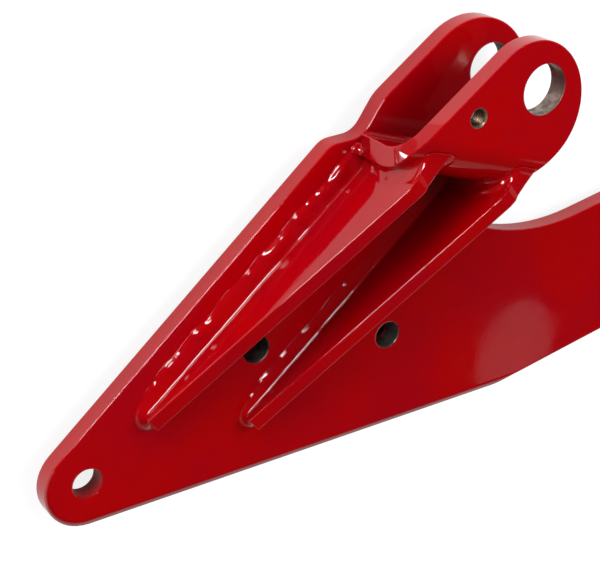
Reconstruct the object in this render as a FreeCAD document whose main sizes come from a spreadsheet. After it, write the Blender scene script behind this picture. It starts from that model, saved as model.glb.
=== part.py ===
import FreeCAD, Part
import math
import os
import Sketcher

# Welded top link. A 12 mm plate runs from a small pin hole at its tip to a clevis ear and
# turns into a curved arm. A bent strap makes the second ear, and two tapered gussets brace it.
# Millimetres. The origin is the centre of the clevis pin bore, half way between the two ears.
# +X runs from the tip hole to the clevis, +Z is the plate's normal on the side with the gussets.

SIZES = {
    "plate_thickness": 12.0,
    "strap_thickness": 12.0,
    "ear_gap": 36.0,
    "pin_bore": 30.5,
    "head_radius": 40.5,
    "head_setback": 14.7,
    "strap_head_drop": 1.5,
    "edge_round": 1.0,
    "strap_edge_break": 0.6,
    # outline of the plate behind the ear
    "neck_start": 66.0,
    "neck_bottom_reach": 89.0,
    "neck_bottom_height": 32.3,
    "neck_round": 14.0,
    "neck_entry_round": 24.0,
    "shoulder_reach": 107.0,
    "shoulder_round": 13.0,
    # tip of the plate
    "tip_hole_reach": 336.4,
    "tip_hole": 18.6,
    "tip_center_beyond": 1.2,
    "tip_center_drop": 0.9,
    "tip_radius": 25.6,
    "upper_edge_angle": 4.8,
    "lower_edge_angle": 35.1,
    # arm
    "arm_width": 96.4,
    "arm_angle": 25.4,
    "arm_end_x": 134.0,
    "arm_end_drop": 254.6,
    "arm_bore": 30.5,
    "arm_bend_round": 60.0,
    "throat_radius": 140.0,
    "throat_center_x": 61.0,
    "throat_corner_round": 15.0,
    "ear_low_angle": 14.0,
    # bolt holes with weld nuts behind them
    "mount_hole": 17.3,
    "mount_a_reach": 215.4,
    "mount_a_drop": 20.8,
    "mount_b_reach": 148.5,
    "mount_b_drop": 88.8,
    "nut_across_flats": 24.0,
    "nut_height": 13.0,
    "nut_thread": 14.0,
    "nut_chamfer": 1.6,
    "nut_weld_leg": 4.0,
    # bent strap that carries the second ear
    "bend_line_angle": 54.0,
    "bend_inner_radius": 14.0,
    "web_reach": 63.3,
    "strap_top_edge": 35.0,
    "strap_corner_round": 34.0,
    "web_end_reach": 88.0,
    "lock_thread_reach": 43.1,
    "lock_thread_height": 20.5,
    "lock_thread": 10.2,
    "lock_chamfer": 0.9,
    # tapered gussets
    "gusset_thickness": 10.0,
    "gusset_angle": 4.25,
    "gusset_ramp": 190.0,
    "gusset_toe_height": 8.5,
    "saddle_start": 197.0,
    "saddle_run": 9.0,
    "saddle_depth": 4.0,
    "gusset_edge_round": 0.8,
    "upper_toe_from_tip": 47.9,
    "upper_toe_offset": 1.8,
    "lower_toe_from_tip": 89.4,
    "lower_toe_offset": -53.2,
    # weld beads
    "weld_leg": 7.0,
    "weld_hollow": 0.9,
    "ear_weld_leg": 9.0,
    "ear_weld_hollow": 2.0,
    "inner_weld_leg": 3.5,
    "end_weld_leg": 5.0,
}

doc = FreeCAD.newDocument("TopLink")
sheet = doc.addObject("Spreadsheet::Sheet", "Sizes")
for row, (alias, value) in enumerate(SIZES.items(), 1):
    sheet.set("A%d" % row, alias)
    sheet.set("B%d" % row, str(value))
    sheet.setAlias("B%d" % row, alias)
doc.recompute()

VEC = FreeCAD.Vector
UP = VEC(0, 0, 1)
parts = []


def size(alias):
    return float(sheet.get(alias))


def sin(degrees):
    return math.sin(math.radians(degrees))


def cos(degrees):
    return math.cos(math.radians(degrees))


def plate_front():
    return -size("ear_gap") / 2


def plate_back():
    return plate_front() - size("plate_thickness")


def strap_front():
    return size("ear_gap") / 2 + size("strap_thickness")


# Bodies, sketches and features

def new_body(label):
    body = doc.addObject("PartDesign::Body", label)
    body.Label = label
    parts.append(body)
    return body


def new_sketch(body, name, role, x=None, y=None, z=None, turn=None):
    """A sketch on one of the body's origin planes, moved and turned by expressions."""
    sketch = body.newObject("Sketcher::SketchObject", name)
    plane = [item for item in body.Origin.OriginFeatures if item.Role == role][0]
    sketch.AttachmentSupport = [(plane, "")]
    sketch.MapMode = "FlatFace"
    if turn:
        sketch.AttachmentOffset = FreeCAD.Placement(VEC(), FreeCAD.Rotation(VEC(0, 1, 0), 1.0))
        sketch.setExpression("AttachmentOffset.Rotation.Angle", turn)
    for axis, expression in (("x", x), ("y", y), ("z", z)):
        if expression:
            sketch.setExpression("AttachmentOffset.Base." + axis, expression)
    return sketch


def bind(sketch, name, expression, *arguments):
    """A named dimension of a sketch, driven by an expression on the sheet."""
    index = sketch.addConstraint(Sketcher.Constraint(*arguments))
    sketch.renameConstraint(index, name)
    sketch.setExpression("Constraints." + name, expression)


def locate(sketch, name, geometry, corner, point, x=None, y=None):
    """Dimensions from the sketch origin to a point, each written as a positive length."""
    for kind, coordinate, expression in (("DistanceX", point.x, x), ("DistanceY", point.y, y)):
        if expression is None:
            continue
        label = name + ("_across" if kind == "DistanceX" else "_along")
        if coordinate < 0:
            bind(sketch, label, expression, kind, geometry, corner, -1, 1, -coordinate)
        else:
            bind(sketch, label, expression, kind, -1, 1, geometry, corner, coordinate)


def relate(sketch, *rows):
    for row in rows:
        sketch.addConstraint(Sketcher.Constraint(*row))


def line(start, end):
    return Part.LineSegment(start, end)


def arc(center, radius, first, last):
    """Counter-clockwise arc between two angles in degrees."""
    circle = Part.Circle(center, UP, radius)
    return Part.ArcOfCircle(circle, math.radians(first), math.radians(last))


def polar(center, radius, angle):
    return center + VEC(radius * cos(angle), radius * sin(angle), 0)


def direction(angle):
    return VEC(cos(angle), sin(angle), 0)


def crossing(point_a, angle_a, point_b, angle_b):
    """Where a line through one point meets a line through another."""
    along, other = direction(angle_a), direction(angle_b)
    gap = point_b - point_a
    reach = (gap.x * other.y - gap.y * other.x) / (along.x * other.y - along.y * other.x)
    return point_a + along * reach


def pad(body, name, sketch, length, symmetric=False):
    feature = body.newObject("PartDesign::Pad", name)
    feature.Profile = sketch
    feature.setExpression("Length", length)
    if symmetric:
        feature.SideType = "Symmetric"
    return settle(feature)


def pocket(body, name, sketch, symmetric=False, flipped=False):
    """A cut through the whole body, which has to take some of it away."""
    before = body.Shape.Volume
    feature = body.newObject("PartDesign::Pocket", name)
    feature.Profile = sketch
    feature.Type = "ThroughAll"
    if symmetric:
        feature.SideType = "Symmetric"
    feature.Reversed = flipped
    settle(feature)
    if body.Shape.Volume > before - 1.0:
        raise RuntimeError(name + " removed nothing")
    return feature


def settle(feature):
    doc.recompute()
    if "Invalid" in feature.State or "Error" in feature.State:
        raise RuntimeError(feature.Name + " failed")
    return feature


def edge_names(feature, wanted):
    return ["Edge%d" % (i + 1) for i, edge in enumerate(feature.Shape.Edges) if wanted(edge)]


def upright_at(*points):
    """Picks the upright edges that stand over the given points of the outline."""
    def wanted(edge):
        first, last = edge.Vertexes[0].Point, edge.Vertexes[-1].Point
        if abs(first.z - last.z) < 1 or math.hypot(first.x - last.x, first.y - last.y) > 0.01:
            return False
        return any(math.hypot(first.x - p.x, first.y - p.y) < 0.5 for p in points)
    return wanted


def fillet(body, name, base, wanted, radius):
    feature = body.newObject("PartDesign::Fillet", name)
    names = edge_names(base, wanted)
    if not names:
        raise RuntimeError(name + " found no edge")
    feature.Base = (base, names)
    feature.setExpression("Radius", radius)
    return settle(feature)


def chamfer(body, name, base, wanted, width):
    feature = body.newObject("PartDesign::Chamfer", name)
    names = edge_names(base, wanted)
    if not names:
        raise RuntimeError(name + " found no edge")
    feature.Base = (base, names)
    feature.setExpression("Size", width)
    return settle(feature)


def circle_at(sketch, name, center, diameter_alias, x=None, y=None):
    """A hole's circle, with its diameter and its centre on the sheet."""
    index = sketch.addGeometry(Part.Circle(center, UP, size(diameter_alias) / 2))
    bind(sketch, name + "_bore", "Sizes." + diameter_alias, "Diameter", index, size(diameter_alias))
    if x is None:
        relate(sketch, ("Coincident", index, 3, -1, 1))
    else:
        locate(sketch, name, index, 3, center, x, y)


# Main plate with the rear ear and the arm

def plate_points():
    """Centres, tangent points and corners of the plate's outline."""
    head = VEC(-size("head_setback"), 0, 0)
    radius = size("head_radius")
    tip = VEC(-size("tip_hole_reach") - size("tip_center_beyond"), -size("tip_center_drop"), 0)
    tip_radius = size("tip_radius")
    rise = size("upper_edge_angle")
    fall = size("lower_edge_angle")
    slope = size("arm_angle")
    end = VEC(size("arm_end_x"), -size("arm_end_drop"), 0)
    end_radius = size("arm_width") / 2
    points = {"head": head, "tip": tip, "end": end}
    points["head_top"] = head + VEC(0, radius, 0)
    points["head_bottom"] = polar(head, radius, size("ear_low_angle") - 90)
    points["neck_start"] = VEC(-size("neck_start"), radius, 0)
    points["neck_bottom"] = VEC(-size("neck_bottom_reach"), size("neck_bottom_height"), 0)
    points["tip_top"] = polar(tip, tip_radius, 90 + rise)
    points["tip_low"] = polar(tip, tip_radius, 270 - fall)
    shoulder_x = -size("shoulder_reach")
    run = shoulder_x - points["tip_top"].x
    points["shoulder"] = VEC(shoulder_x, points["tip_top"].y + run * math.tan(math.radians(rise)), 0)
    points["end_low"] = polar(end, end_radius, 270 - slope)
    points["end_top"] = polar(end, end_radius, 90 - slope)
    points["bend"] = crossing(points["tip_low"], -fall, points["end_low"], -slope)
    throat_radius = size("throat_radius")
    inward = polar(VEC(), throat_radius, 90 - slope)
    rail = points["end_top"] + inward
    run = (size("throat_center_x") - rail.x) / cos(slope)
    throat = rail + VEC(cos(slope), -sin(slope), 0) * run
    points["throat"] = throat
    points["throat_low"] = throat - inward
    points["corner"] = meet_circle(points["head_bottom"], size("ear_low_angle") + 180,
                                   throat, throat_radius)
    return points


def meet_circle(point, angle, center, radius):
    """Where a line that starts inside a circle leaves it."""
    along = direction(angle)
    foot = (point - center).dot(along)
    offset = (point - center).Length ** 2 - radius ** 2
    return point + along * (-foot + math.sqrt(foot ** 2 - offset))


def plate_outline(sketch, at):
    throat_start = math.degrees(math.atan2(at["corner"].y - at["throat"].y,
                                           at["corner"].x - at["throat"].x)) % 360
    rise, fall, slope = size("upper_edge_angle"), size("lower_edge_angle"), size("arm_angle")
    head, top, entry, low, back, tip, under, arm_low, end, arm_top, throat, ear_low = range(12)
    sketch.addGeometry([
        arc(at["head"], size("head_radius"), size("ear_low_angle") - 90, 90),
        line(at["head_top"], at["neck_start"]),
        line(at["neck_start"], at["neck_bottom"]),
        line(at["neck_bottom"], at["shoulder"]),
        line(at["tip_top"], at["shoulder"]),
        arc(at["tip"], size("tip_radius"), 90 + rise, 270 - fall),
        line(at["bend"], at["tip_low"]),
        line(at["end_low"], at["bend"]),
        arc(at["end"], size("arm_width") / 2, -90 - slope, 90 - slope),
        line(at["end_top"], at["throat_low"]),
        arc(at["throat"], size("throat_radius"), throat_start, 270 - slope),
        line(at["corner"], at["head_bottom"]),
    ], False)
    relate(sketch,
           ("Tangent", head, 2, top, 1), ("Tangent", back, 1, tip, 1), ("Tangent", under, 2, tip, 2),
           ("Tangent", arm_low, 1, end, 1), ("Tangent", end, 2, arm_top, 1),
           ("Tangent", arm_top, 2, throat, 2), ("Tangent", ear_low, 2, head, 1),
           ("Coincident", top, 2, entry, 1), ("Coincident", entry, 2, low, 1),
           ("Coincident", low, 2, back, 2), ("Coincident", under, 1, arm_low, 2),
           ("Coincident", throat, 1, ear_low, 1), ("Horizontal", top))
    bind(sketch, "ear_low_angle", "Sizes.ear_low_angle", "Angle", ear_low,
         math.radians(size("ear_low_angle")))
    locate(sketch, "head", head, 3, at["head"], "Sizes.head_setback")
    relate(sketch, ("PointOnObject", head, 3, -1))
    bind(sketch, "head_radius", "Sizes.head_radius", "Radius", head, size("head_radius"))
    locate(sketch, "neck_start", entry, 1, at["neck_start"], "Sizes.neck_start")
    locate(sketch, "neck_bottom", low, 1, at["neck_bottom"],
           "Sizes.neck_bottom_reach", "Sizes.neck_bottom_height")
    locate(sketch, "shoulder", back, 2, at["shoulder"], "Sizes.shoulder_reach")
    locate(sketch, "tip", tip, 3, at["tip"], "Sizes.tip_hole_reach + Sizes.tip_center_beyond",
           "Sizes.tip_center_drop")
    bind(sketch, "tip_radius", "Sizes.tip_radius", "Radius", tip, size("tip_radius"))
    bind(sketch, "upper_edge", "Sizes.upper_edge_angle", "Angle", back, math.radians(rise))
    bind(sketch, "lower_edge", "180 - Sizes.lower_edge_angle", "Angle", under, math.radians(180 - fall))
    bind(sketch, "arm_slope", "180 - Sizes.arm_angle", "Angle", arm_low, math.radians(180 - slope))
    bind(sketch, "arm_slope_top", "180 - Sizes.arm_angle", "Angle", arm_top, math.radians(180 - slope))
    bind(sketch, "arm_half", "Sizes.arm_width / 2", "Radius", end, size("arm_width") / 2)
    locate(sketch, "end", end, 3, at["end"], "Sizes.arm_end_x", "Sizes.arm_end_drop")
    bind(sketch, "throat_radius", "Sizes.throat_radius", "Radius", throat, size("throat_radius"))
    locate(sketch, "throat", throat, 3, at["throat"], "Sizes.throat_center_x")


def rim_edges(height):
    """Picks the edges of the outer outline that lie at one height, leaving out the holes."""
    def wanted(edge):
        if isinstance(edge.Curve, Part.Circle) and len(edge.Vertexes) == 1:
            return False
        box = edge.BoundBox
        return abs(box.ZMin - height) < 0.01 and abs(box.ZMax - height) < 0.01
    return wanted


def main_plate():
    body = new_body("main_plate")
    at = plate_points()
    outline = new_sketch(body, "plate_outline", "XY_Plane",
                         z="-Sizes.ear_gap / 2 - Sizes.plate_thickness")
    plate_outline(outline, at)
    blank = pad(body, "plate_blank", outline, "Sizes.plate_thickness")
    step = fillet(body, "neck_round", blank, upright_at(at["neck_bottom"]), "Sizes.neck_round")
    step = fillet(body, "neck_entry", step, upright_at(at["neck_start"]), "Sizes.neck_entry_round")
    step = fillet(body, "shoulder_round", step, upright_at(at["shoulder"]), "Sizes.shoulder_round")
    step = fillet(body, "arm_bend", step, upright_at(at["bend"]), "Sizes.arm_bend_round")
    step = fillet(body, "throat_corner", step, upright_at(at["corner"]), "Sizes.throat_corner_round")
    step = fillet(body, "front_rim", step, rim_edges(plate_front()), "Sizes.edge_round")
    chamfer(body, "back_rim", step, rim_edges(plate_back()), "Sizes.edge_round * 0.6")
    holes = new_sketch(body, "plate_holes", "XY_Plane", z="-Sizes.ear_gap / 2")
    circle_at(holes, "pin", VEC(), "pin_bore")
    circle_at(holes, "tip", VEC(-size("tip_hole_reach"), 0, 0), "tip_hole", "Sizes.tip_hole_reach", None)
    relate(holes, ("PointOnObject", 1, 3, -1))
    for letter in "ab":
        name = "mount_" + letter
        center = VEC(-size(name + "_reach"), -size(name + "_drop"), 0)
        circle_at(holes, name, center, "mount_hole", "Sizes.%s_reach" % name, "Sizes.%s_drop" % name)
    circle_at(holes, "arm", at["end"], "arm_bore", "Sizes.arm_end_x", "Sizes.arm_end_drop")
    pocket(body, "plate_bores", holes)
    return body


# Bent strap: the second ear and the web that carries it

def outer_radius():
    return size("bend_inner_radius") + size("strap_thickness")


def section_sketch(body, name):
    """A sketch square to the bend line, with its origin on the pin axis."""
    return new_sketch(body, name, "XZ_Plane", turn="90 - Sizes.bend_line_angle")


def strap_section(sketch):
    """The web stands on the plate and turns through a round bend into the ear."""
    web, inner, outer = -size("web_reach"), size("bend_inner_radius"), outer_radius()
    face = web + size("strap_thickness")
    foot, under, top = plate_front(), size("ear_gap") / 2, strap_front()
    reach = size("head_radius") * 1.3
    center = VEC(web + outer, top - outer, 0)
    sketch.addGeometry([
        line(VEC(web, center.y, 0), VEC(web, foot, 0)),
        line(VEC(web, foot, 0), VEC(face, foot, 0)),
        line(VEC(face, foot, 0), VEC(face, center.y, 0)),
        arc(center, inner, 90, 180),
        line(VEC(center.x, under, 0), VEC(reach, under, 0)),
        line(VEC(reach, under, 0), VEC(reach, top, 0)),
        line(VEC(reach, top, 0), VEC(center.x, top, 0)),
        arc(center, outer, 90, 180),
    ], False)
    relate(sketch,
           ("Coincident", 0, 2, 1, 1), ("Coincident", 1, 2, 2, 1), ("Tangent", 2, 2, 3, 2),
           ("Tangent", 3, 1, 4, 1), ("Coincident", 4, 2, 5, 1), ("Coincident", 5, 2, 6, 1),
           ("Tangent", 6, 2, 7, 1), ("Tangent", 7, 2, 0, 1), ("Vertical", 0), ("Horizontal", 1),
           ("Vertical", 2), ("Horizontal", 4), ("Vertical", 5), ("Horizontal", 6))
    locate(sketch, "web", 1, 1, VEC(web, foot, 0), "Sizes.web_reach", "Sizes.ear_gap / 2")
    bind(sketch, "web_thickness", "Sizes.strap_thickness", "DistanceX", 1, 1, 1, 2, face - web)
    bind(sketch, "ear_thickness", "Sizes.strap_thickness", "DistanceY", 5, 1, 5, 2, top - under)
    bind(sketch, "inner_radius", "Sizes.bend_inner_radius", "Radius", 3, inner)
    locate(sketch, "reach", 5, 1, VEC(reach, under, 0), "Sizes.head_radius * 1.3", "Sizes.ear_gap / 2")


def strap_outline(sketch):
    """The strap's plan inside a large frame: what lies between the two is cut away.

    Its upper edge runs straight along the ear, and turns square to the bend line where the web starts.
    """
    radius, top, turn = size("head_radius"), size("strap_top_edge"), size("bend_line_angle")
    head = VEC(-size("head_setback"), -size("strap_head_drop"), 0)
    lift = math.degrees(math.asin((top - head.y) / radius))
    shoulder = polar(head, radius, lift)
    knee = VEC(-size("web_end_reach"), top, 0)
    far = knee + direction(270 - turn) * size("web_reach")
    low = head.y - radius
    frame = 3 * size("web_reach")
    outside = [VEC(-frame, -frame, 0), VEC(frame, -frame, 0), VEC(frame, frame, 0), VEC(-frame, frame, 0)]
    sketch.addGeometry([
        arc(head, radius, -90, lift),
        line(shoulder, knee),
        line(knee, far),
        line(far, VEC(far.x, low, 0)),
        line(VEC(far.x, low, 0), VEC(head.x, low, 0)),
    ], False)
    sketch.addGeometry([line(a, b) for a, b in zip(outside, outside[1:] + outside[:1])], False)
    relate(sketch,
           ("Coincident", 0, 2, 1, 1), ("Coincident", 1, 2, 2, 1), ("Coincident", 2, 2, 3, 1),
           ("Coincident", 3, 2, 4, 1), ("Tangent", 4, 2, 0, 1), ("Horizontal", 1), ("Vertical", 3),
           ("Horizontal", 4), ("Coincident", 5, 2, 6, 1), ("Coincident", 6, 2, 7, 1),
           ("Coincident", 7, 2, 8, 1), ("Coincident", 8, 2, 5, 1), ("Horizontal", 5),
           ("Vertical", 6), ("Horizontal", 7), ("Vertical", 8))
    locate(sketch, "head", 0, 3, head, "Sizes.head_setback", "Sizes.strap_head_drop")
    bind(sketch, "head_radius", "Sizes.head_radius", "Radius", 0, radius)
    locate(sketch, "knee", 1, 2, knee, "Sizes.web_end_reach", "Sizes.strap_top_edge")
    bind(sketch, "end_length", "Sizes.web_reach", "Distance", 2, size("web_reach"))
    bind(sketch, "end_slope", "270 - Sizes.bend_line_angle", "Angle", 2, math.radians(270 - turn))
    locate(sketch, "frame_low", 5, 1, outside[0], "Sizes.web_reach * 3", "Sizes.web_reach * 3")
    locate(sketch, "frame_high", 6, 2, outside[2], "Sizes.web_reach * 3", "Sizes.web_reach * 3")
    return shoulder


def strap_rim(edge):
    """Picks the edges that border the strap's two broad faces, and not the foot."""
    box = edge.BoundBox
    if box.ZMin < plate_front() + 0.01 and box.ZMax < plate_front() + 0.01:
        return False
    middle = edge.valueAt((edge.FirstParameter + edge.LastParameter) / 2)
    across = middle.dot(direction(90 - size("bend_line_angle")))
    web, outer = -size("web_reach"), outer_radius()
    if across < web + outer:
        reach = VEC(across - web - outer, max(middle.z, strap_front() - outer) - strap_front() + outer, 0)
        depths = (reach.Length - size("bend_inner_radius"), outer - reach.Length)
    else:
        depths = (middle.z - size("ear_gap") / 2, strap_front() - middle.z)
    if min(abs(depth) for depth in depths) > 0.01:
        return False
    along = edge.tangentAt((edge.FirstParameter + edge.LastParameter) / 2)
    return abs(along.dot(direction(-size("bend_line_angle")))) < 0.999


def front_ear():
    body = new_body("front_ear")
    section = section_sketch(body, "strap_section")
    strap_section(section)
    pad(body, "strap_bend", section, "Sizes.web_reach * 4", symmetric=True)
    outline = new_sketch(body, "strap_outline", "XY_Plane")
    shoulder = strap_outline(outline)
    step = pocket(body, "strap_trim", outline, symmetric=True)
    step = fillet(body, "strap_corner", step, upright_at(shoulder), "Sizes.strap_corner_round")
    chamfer(body, "strap_rim", step, strap_rim, "Sizes.strap_edge_break")
    holes = new_sketch(body, "strap_holes", "XY_Plane", z="Sizes.ear_gap / 2 + Sizes.strap_thickness")
    circle_at(holes, "pin", VEC(), "pin_bore")
    place = VEC(-size("lock_thread_reach"), size("lock_thread_height"), 0)
    circle_at(holes, "lock", place, "lock_thread", "Sizes.lock_thread_reach", "Sizes.lock_thread_height")
    before = body.Shape.Volume
    bores = body.newObject("PartDesign::Pocket", "strap_bores")
    bores.Profile = holes
    bores.setExpression("Length", "Sizes.strap_thickness * 1.2")
    settle(bores)
    if body.Shape.Volume > before - 1.0:
        raise RuntimeError("the ear's bores removed nothing")

    def lock_mouth(edge):
        if not isinstance(edge.Curve, Part.Circle) or abs(edge.Curve.Center.z - strap_front()) > 0.01:
            return False
        return (edge.Curve.Center - VEC(place.x, place.y, strap_front())).Length < 0.1
    chamfer(body, "lock_mouth", bores, lock_mouth, "Sizes.lock_chamfer")
    return body


# Tapered gussets between the plate and the strap

def gusset_toe(row):
    reach = size("tip_hole_reach") - size(row + "_toe_from_tip")
    return VEC(-reach, size(row + "_toe_offset"), plate_front())


def gusset_sketch(body, name, row, role):
    """A sketch at the gusset's toe, turned into the gusset's own direction."""
    base = {"x": "Sizes.%s_toe_from_tip - Sizes.tip_hole_reach" % row,
            "y": "Sizes.%s_toe_offset" % row, "z": "-Sizes.ear_gap / 2"}
    if role == "XZ_Plane":
        shift = {"x": base["x"], "y": base["z"], "z": "-(%s)" % base["y"]}
    else:
        shift = {"x": base["y"], "y": base["z"], "z": base["x"]}
    return new_sketch(body, name, role, turn="Sizes.gusset_angle", **shift)


def full_height():
    return size("ear_gap") + size("strap_thickness")


def gusset_profile(sketch, length):
    """A long ramp up to the ear's height, then a shallow saddle where the gusset runs into the bend."""
    ramp, toe, top = size("gusset_ramp"), size("gusset_toe_height"), full_height()
    start, run, depth = size("saddle_start"), size("saddle_run"), size("saddle_depth")
    corners = [VEC(0, 0, 0), VEC(length, 0, 0), VEC(length, top - depth, 0),
               VEC(start + run, top - depth, 0), VEC(start, top, 0), VEC(ramp, top, 0), VEC(0, toe, 0)]
    sketch.addGeometry([line(a, b) for a, b in zip(corners, corners[1:] + corners[:1])], False)
    relate(sketch, *[("Coincident", i, 2, (i + 1) % 7, 1) for i in range(7)])
    relate(sketch, ("Coincident", 0, 1, -1, 1), ("Horizontal", 0), ("Vertical", 1),
           ("Horizontal", 2), ("Horizontal", 4), ("Vertical", 6))
    bind(sketch, "blank_length", "Sizes.gusset_ramp * 1.4", "DistanceX", 0, 1, 0, 2, length)
    bind(sketch, "full_height", "Sizes.ear_gap + Sizes.strap_thickness", "DistanceY", 0, 1, 4, 1, top)
    bind(sketch, "saddle_depth", "Sizes.saddle_depth", "DistanceY", 2, 2, 3, 2, depth)
    bind(sketch, "saddle_start", "Sizes.saddle_start", "DistanceX", 0, 1, 3, 2, start)
    bind(sketch, "saddle_run", "Sizes.saddle_run", "DistanceX", 3, 2, 3, 1, run)
    bind(sketch, "ramp", "Sizes.gusset_ramp", "DistanceX", 0, 1, 4, 2, ramp)
    bind(sketch, "toe_height", "Sizes.gusset_toe_height", "DistanceY", 6, 2, 6, 1, toe)


def strap_outside(sketch):
    """Everything on the clevis side of the strap's outer face."""
    web, outer, top = -size("web_reach"), outer_radius(), strap_front()
    foot = plate_front() - size("plate_thickness")
    reach = 3 * size("web_reach")
    center = VEC(web + outer, top - outer, 0)
    sketch.addGeometry([
        line(VEC(web, center.y, 0), VEC(web, foot, 0)),
        line(VEC(web, foot, 0), VEC(reach, foot, 0)),
        line(VEC(reach, foot, 0), VEC(reach, top, 0)),
        line(VEC(reach, top, 0), VEC(center.x, top, 0)),
        arc(center, outer, 90, 180),
    ], False)
    relate(sketch,
           ("Coincident", 0, 2, 1, 1), ("Coincident", 1, 2, 2, 1), ("Coincident", 2, 2, 3, 1),
           ("Tangent", 3, 2, 4, 1), ("Tangent", 4, 2, 0, 1), ("Vertical", 0), ("Horizontal", 1),
           ("Vertical", 2), ("Horizontal", 3))
    locate(sketch, "web", 1, 1, VEC(web, foot, 0), "Sizes.web_reach",
           "Sizes.ear_gap / 2 + Sizes.plate_thickness")
    locate(sketch, "far", 2, 2, VEC(reach, top, 0), "Sizes.web_reach * 3",
           "Sizes.ear_gap / 2 + Sizes.strap_thickness")
    bind(sketch, "outer_radius", "Sizes.bend_inner_radius + Sizes.strap_thickness", "Radius", 4, outer)


def fit_to_strap(body, name):
    """Cuts the end of a body to the strap's outer face."""
    cutter = section_sketch(body, name + "_line")
    strap_outside(cutter)
    return pocket(body, name, cutter, symmetric=True)


def gusset(row):
    body = new_body(row + "_gusset")
    profile = gusset_sketch(body, row + "_profile", row, "XZ_Plane")
    gusset_profile(profile, size("gusset_ramp") * 1.4)
    pad(body, row + "_blank", profile, "Sizes.gusset_thickness", symmetric=True)
    step = fit_to_strap(body, row + "_fit")
    toe, ramp = gusset_toe(row), size("gusset_ramp")

    def ridge(edge):
        """The two long edges of the sloping top."""
        if edge.Length < ramp * 0.9:
            return False
        return edge.Vertexes[0].Point.z > toe.z + 1 and edge.Vertexes[-1].Point.z > toe.z + 1
    fillet(body, row + "_ridge", step, ridge, "Sizes.gusset_edge_round")
    return body


# Weld beads

def hollow_arc(first, last, sagitta):
    """Counter-clockwise arc between two points, with its centre to the left of the chord."""
    chord = last - first
    radius = (chord.Length ** 2 / 4 + sagitta ** 2) / (2 * sagitta)
    left = VEC(-chord.y, chord.x, 0).normalize()
    center = (first + last) * 0.5 + left * (radius - sagitta)
    angles = [math.degrees(math.atan2(p.y - center.y, p.x - center.x)) for p in (first, last)]
    return arc(center, radius, *angles)


def bead_profile(sketch, side, leg_alias, hollow_alias, start, start_expression):
    """A fillet weld's section in the corner beside an upright face, slightly hollow."""
    leg, hollow = size(leg_alias), size(hollow_alias)
    root = VEC(side * start, 0, 0)
    toe = VEC(side * (start + leg), 0, 0)
    crown = VEC(side * start, leg, 0)
    first, last = (crown, toe) if side > 0 else (toe, crown)
    sketch.addGeometry([line(crown, root), line(root, toe), hollow_arc(first, last, hollow)], False)
    at_crown, at_toe = (1, 2) if side > 0 else (2, 1)
    relate(sketch, ("Coincident", 0, 2, 1, 1), ("Coincident", 1, 2, 2, at_toe),
           ("Coincident", 0, 1, 2, at_crown), ("Vertical", 0), ("PointOnObject", 0, 2, -1),
           ("PointOnObject", 1, 2, -1))
    locate(sketch, "start", 0, 2, VEC(side * start, 0, 0), start_expression)
    bind(sketch, "leg", "Sizes." + leg_alias, "DistanceY", 0, 2, 0, 1, leg)
    first, last = ((1, 1), (1, 2)) if side > 0 else ((1, 2), (1, 1))
    bind(sketch, "foot_leg", "Sizes." + leg_alias, "DistanceX", *first, *last, leg)
    chord = leg * math.sqrt(2)
    radius = (chord ** 2 / 4 + hollow ** 2) / (2 * hollow)
    rule = "(Sizes.{0} ^ 2 / 2 + Sizes.{1} ^ 2) / (2 * Sizes.{1})".format(leg_alias, hollow_alias)
    bind(sketch, "face", rule, "Radius", 2, radius)


def side_weld(row, label, side, run="Sizes.gusset_ramp * 1.4"):
    """The bead along one foot of a gusset, from its toe to the strap or to the plate's edge."""
    body = new_body(label)
    sketch = gusset_sketch(body, label + "_section", row, "YZ_Plane")
    bead_profile(sketch, side, "weld_leg", "weld_hollow",
                 size("gusset_thickness") / 2, "Sizes.gusset_thickness / 2")
    bead = pad(body, label + "_run", sketch, run)
    if bead.Length > size("gusset_ramp"):
        fit_to_strap(body, label + "_fit")
    return body


def toe_profile(sketch):
    """Half of the bead round a toe: a flat top as wide as the gusset and the hollow face."""
    half, leg, hollow = size("gusset_thickness") / 2, size("weld_leg"), size("weld_hollow")
    root, toe, crown, peak = VEC(), VEC(half + leg, 0, 0), VEC(half, leg, 0), VEC(0, leg, 0)
    sketch.addGeometry([line(root, toe), line(crown, peak), line(peak, root),
                        hollow_arc(crown, toe, hollow)], False)
    relate(sketch, ("Coincident", 0, 1, -1, 1), ("Coincident", 2, 2, 0, 1), ("Coincident", 1, 2, 2, 1),
           ("Coincident", 0, 2, 3, 2), ("Coincident", 1, 1, 3, 1),
           ("Horizontal", 0), ("Horizontal", 1), ("Vertical", 2))
    bind(sketch, "foot", "Sizes.gusset_thickness / 2 + Sizes.weld_leg", "DistanceX", 0, 1, 0, 2, half + leg)
    bind(sketch, "leg", "Sizes.weld_leg", "DistanceY", 2, 2, 2, 1, leg)
    bind(sketch, "half", "Sizes.gusset_thickness / 2", "DistanceX", 1, 2, 1, 1, half)
    radius = (leg ** 2 / 2 + hollow ** 2) / (2 * hollow)
    rule = "(Sizes.weld_leg ^ 2 / 2 + Sizes.weld_hollow ^ 2) / (2 * Sizes.weld_hollow)"
    bind(sketch, "face", rule, "Radius", 3, radius)


def toe_weld(row):
    """The bead that wraps the toe in a half turn."""
    body = new_body(row + "_gusset_toe_weld")
    sketch = gusset_sketch(body, row + "_toe_section", row, "YZ_Plane")
    toe_profile(sketch)
    turn = body.newObject("PartDesign::Revolution", row + "_toe_turn")
    turn.Profile = sketch
    turn.ReferenceAxis = (sketch, ["V_Axis"])
    turn.Angle = 180
    settle(turn)
    if body.Shape.CenterOfMass.x > gusset_toe(row).x:
        turn.Reversed = True
        settle(turn)
    return body


def gusset_face(row, side):
    """A point on one side face of a gusset and its direction in plan."""
    angle = size("gusset_angle")
    across = direction(angle + 90) * (side * size("gusset_thickness") / 2)
    return gusset_toe(row) + across, angle


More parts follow.
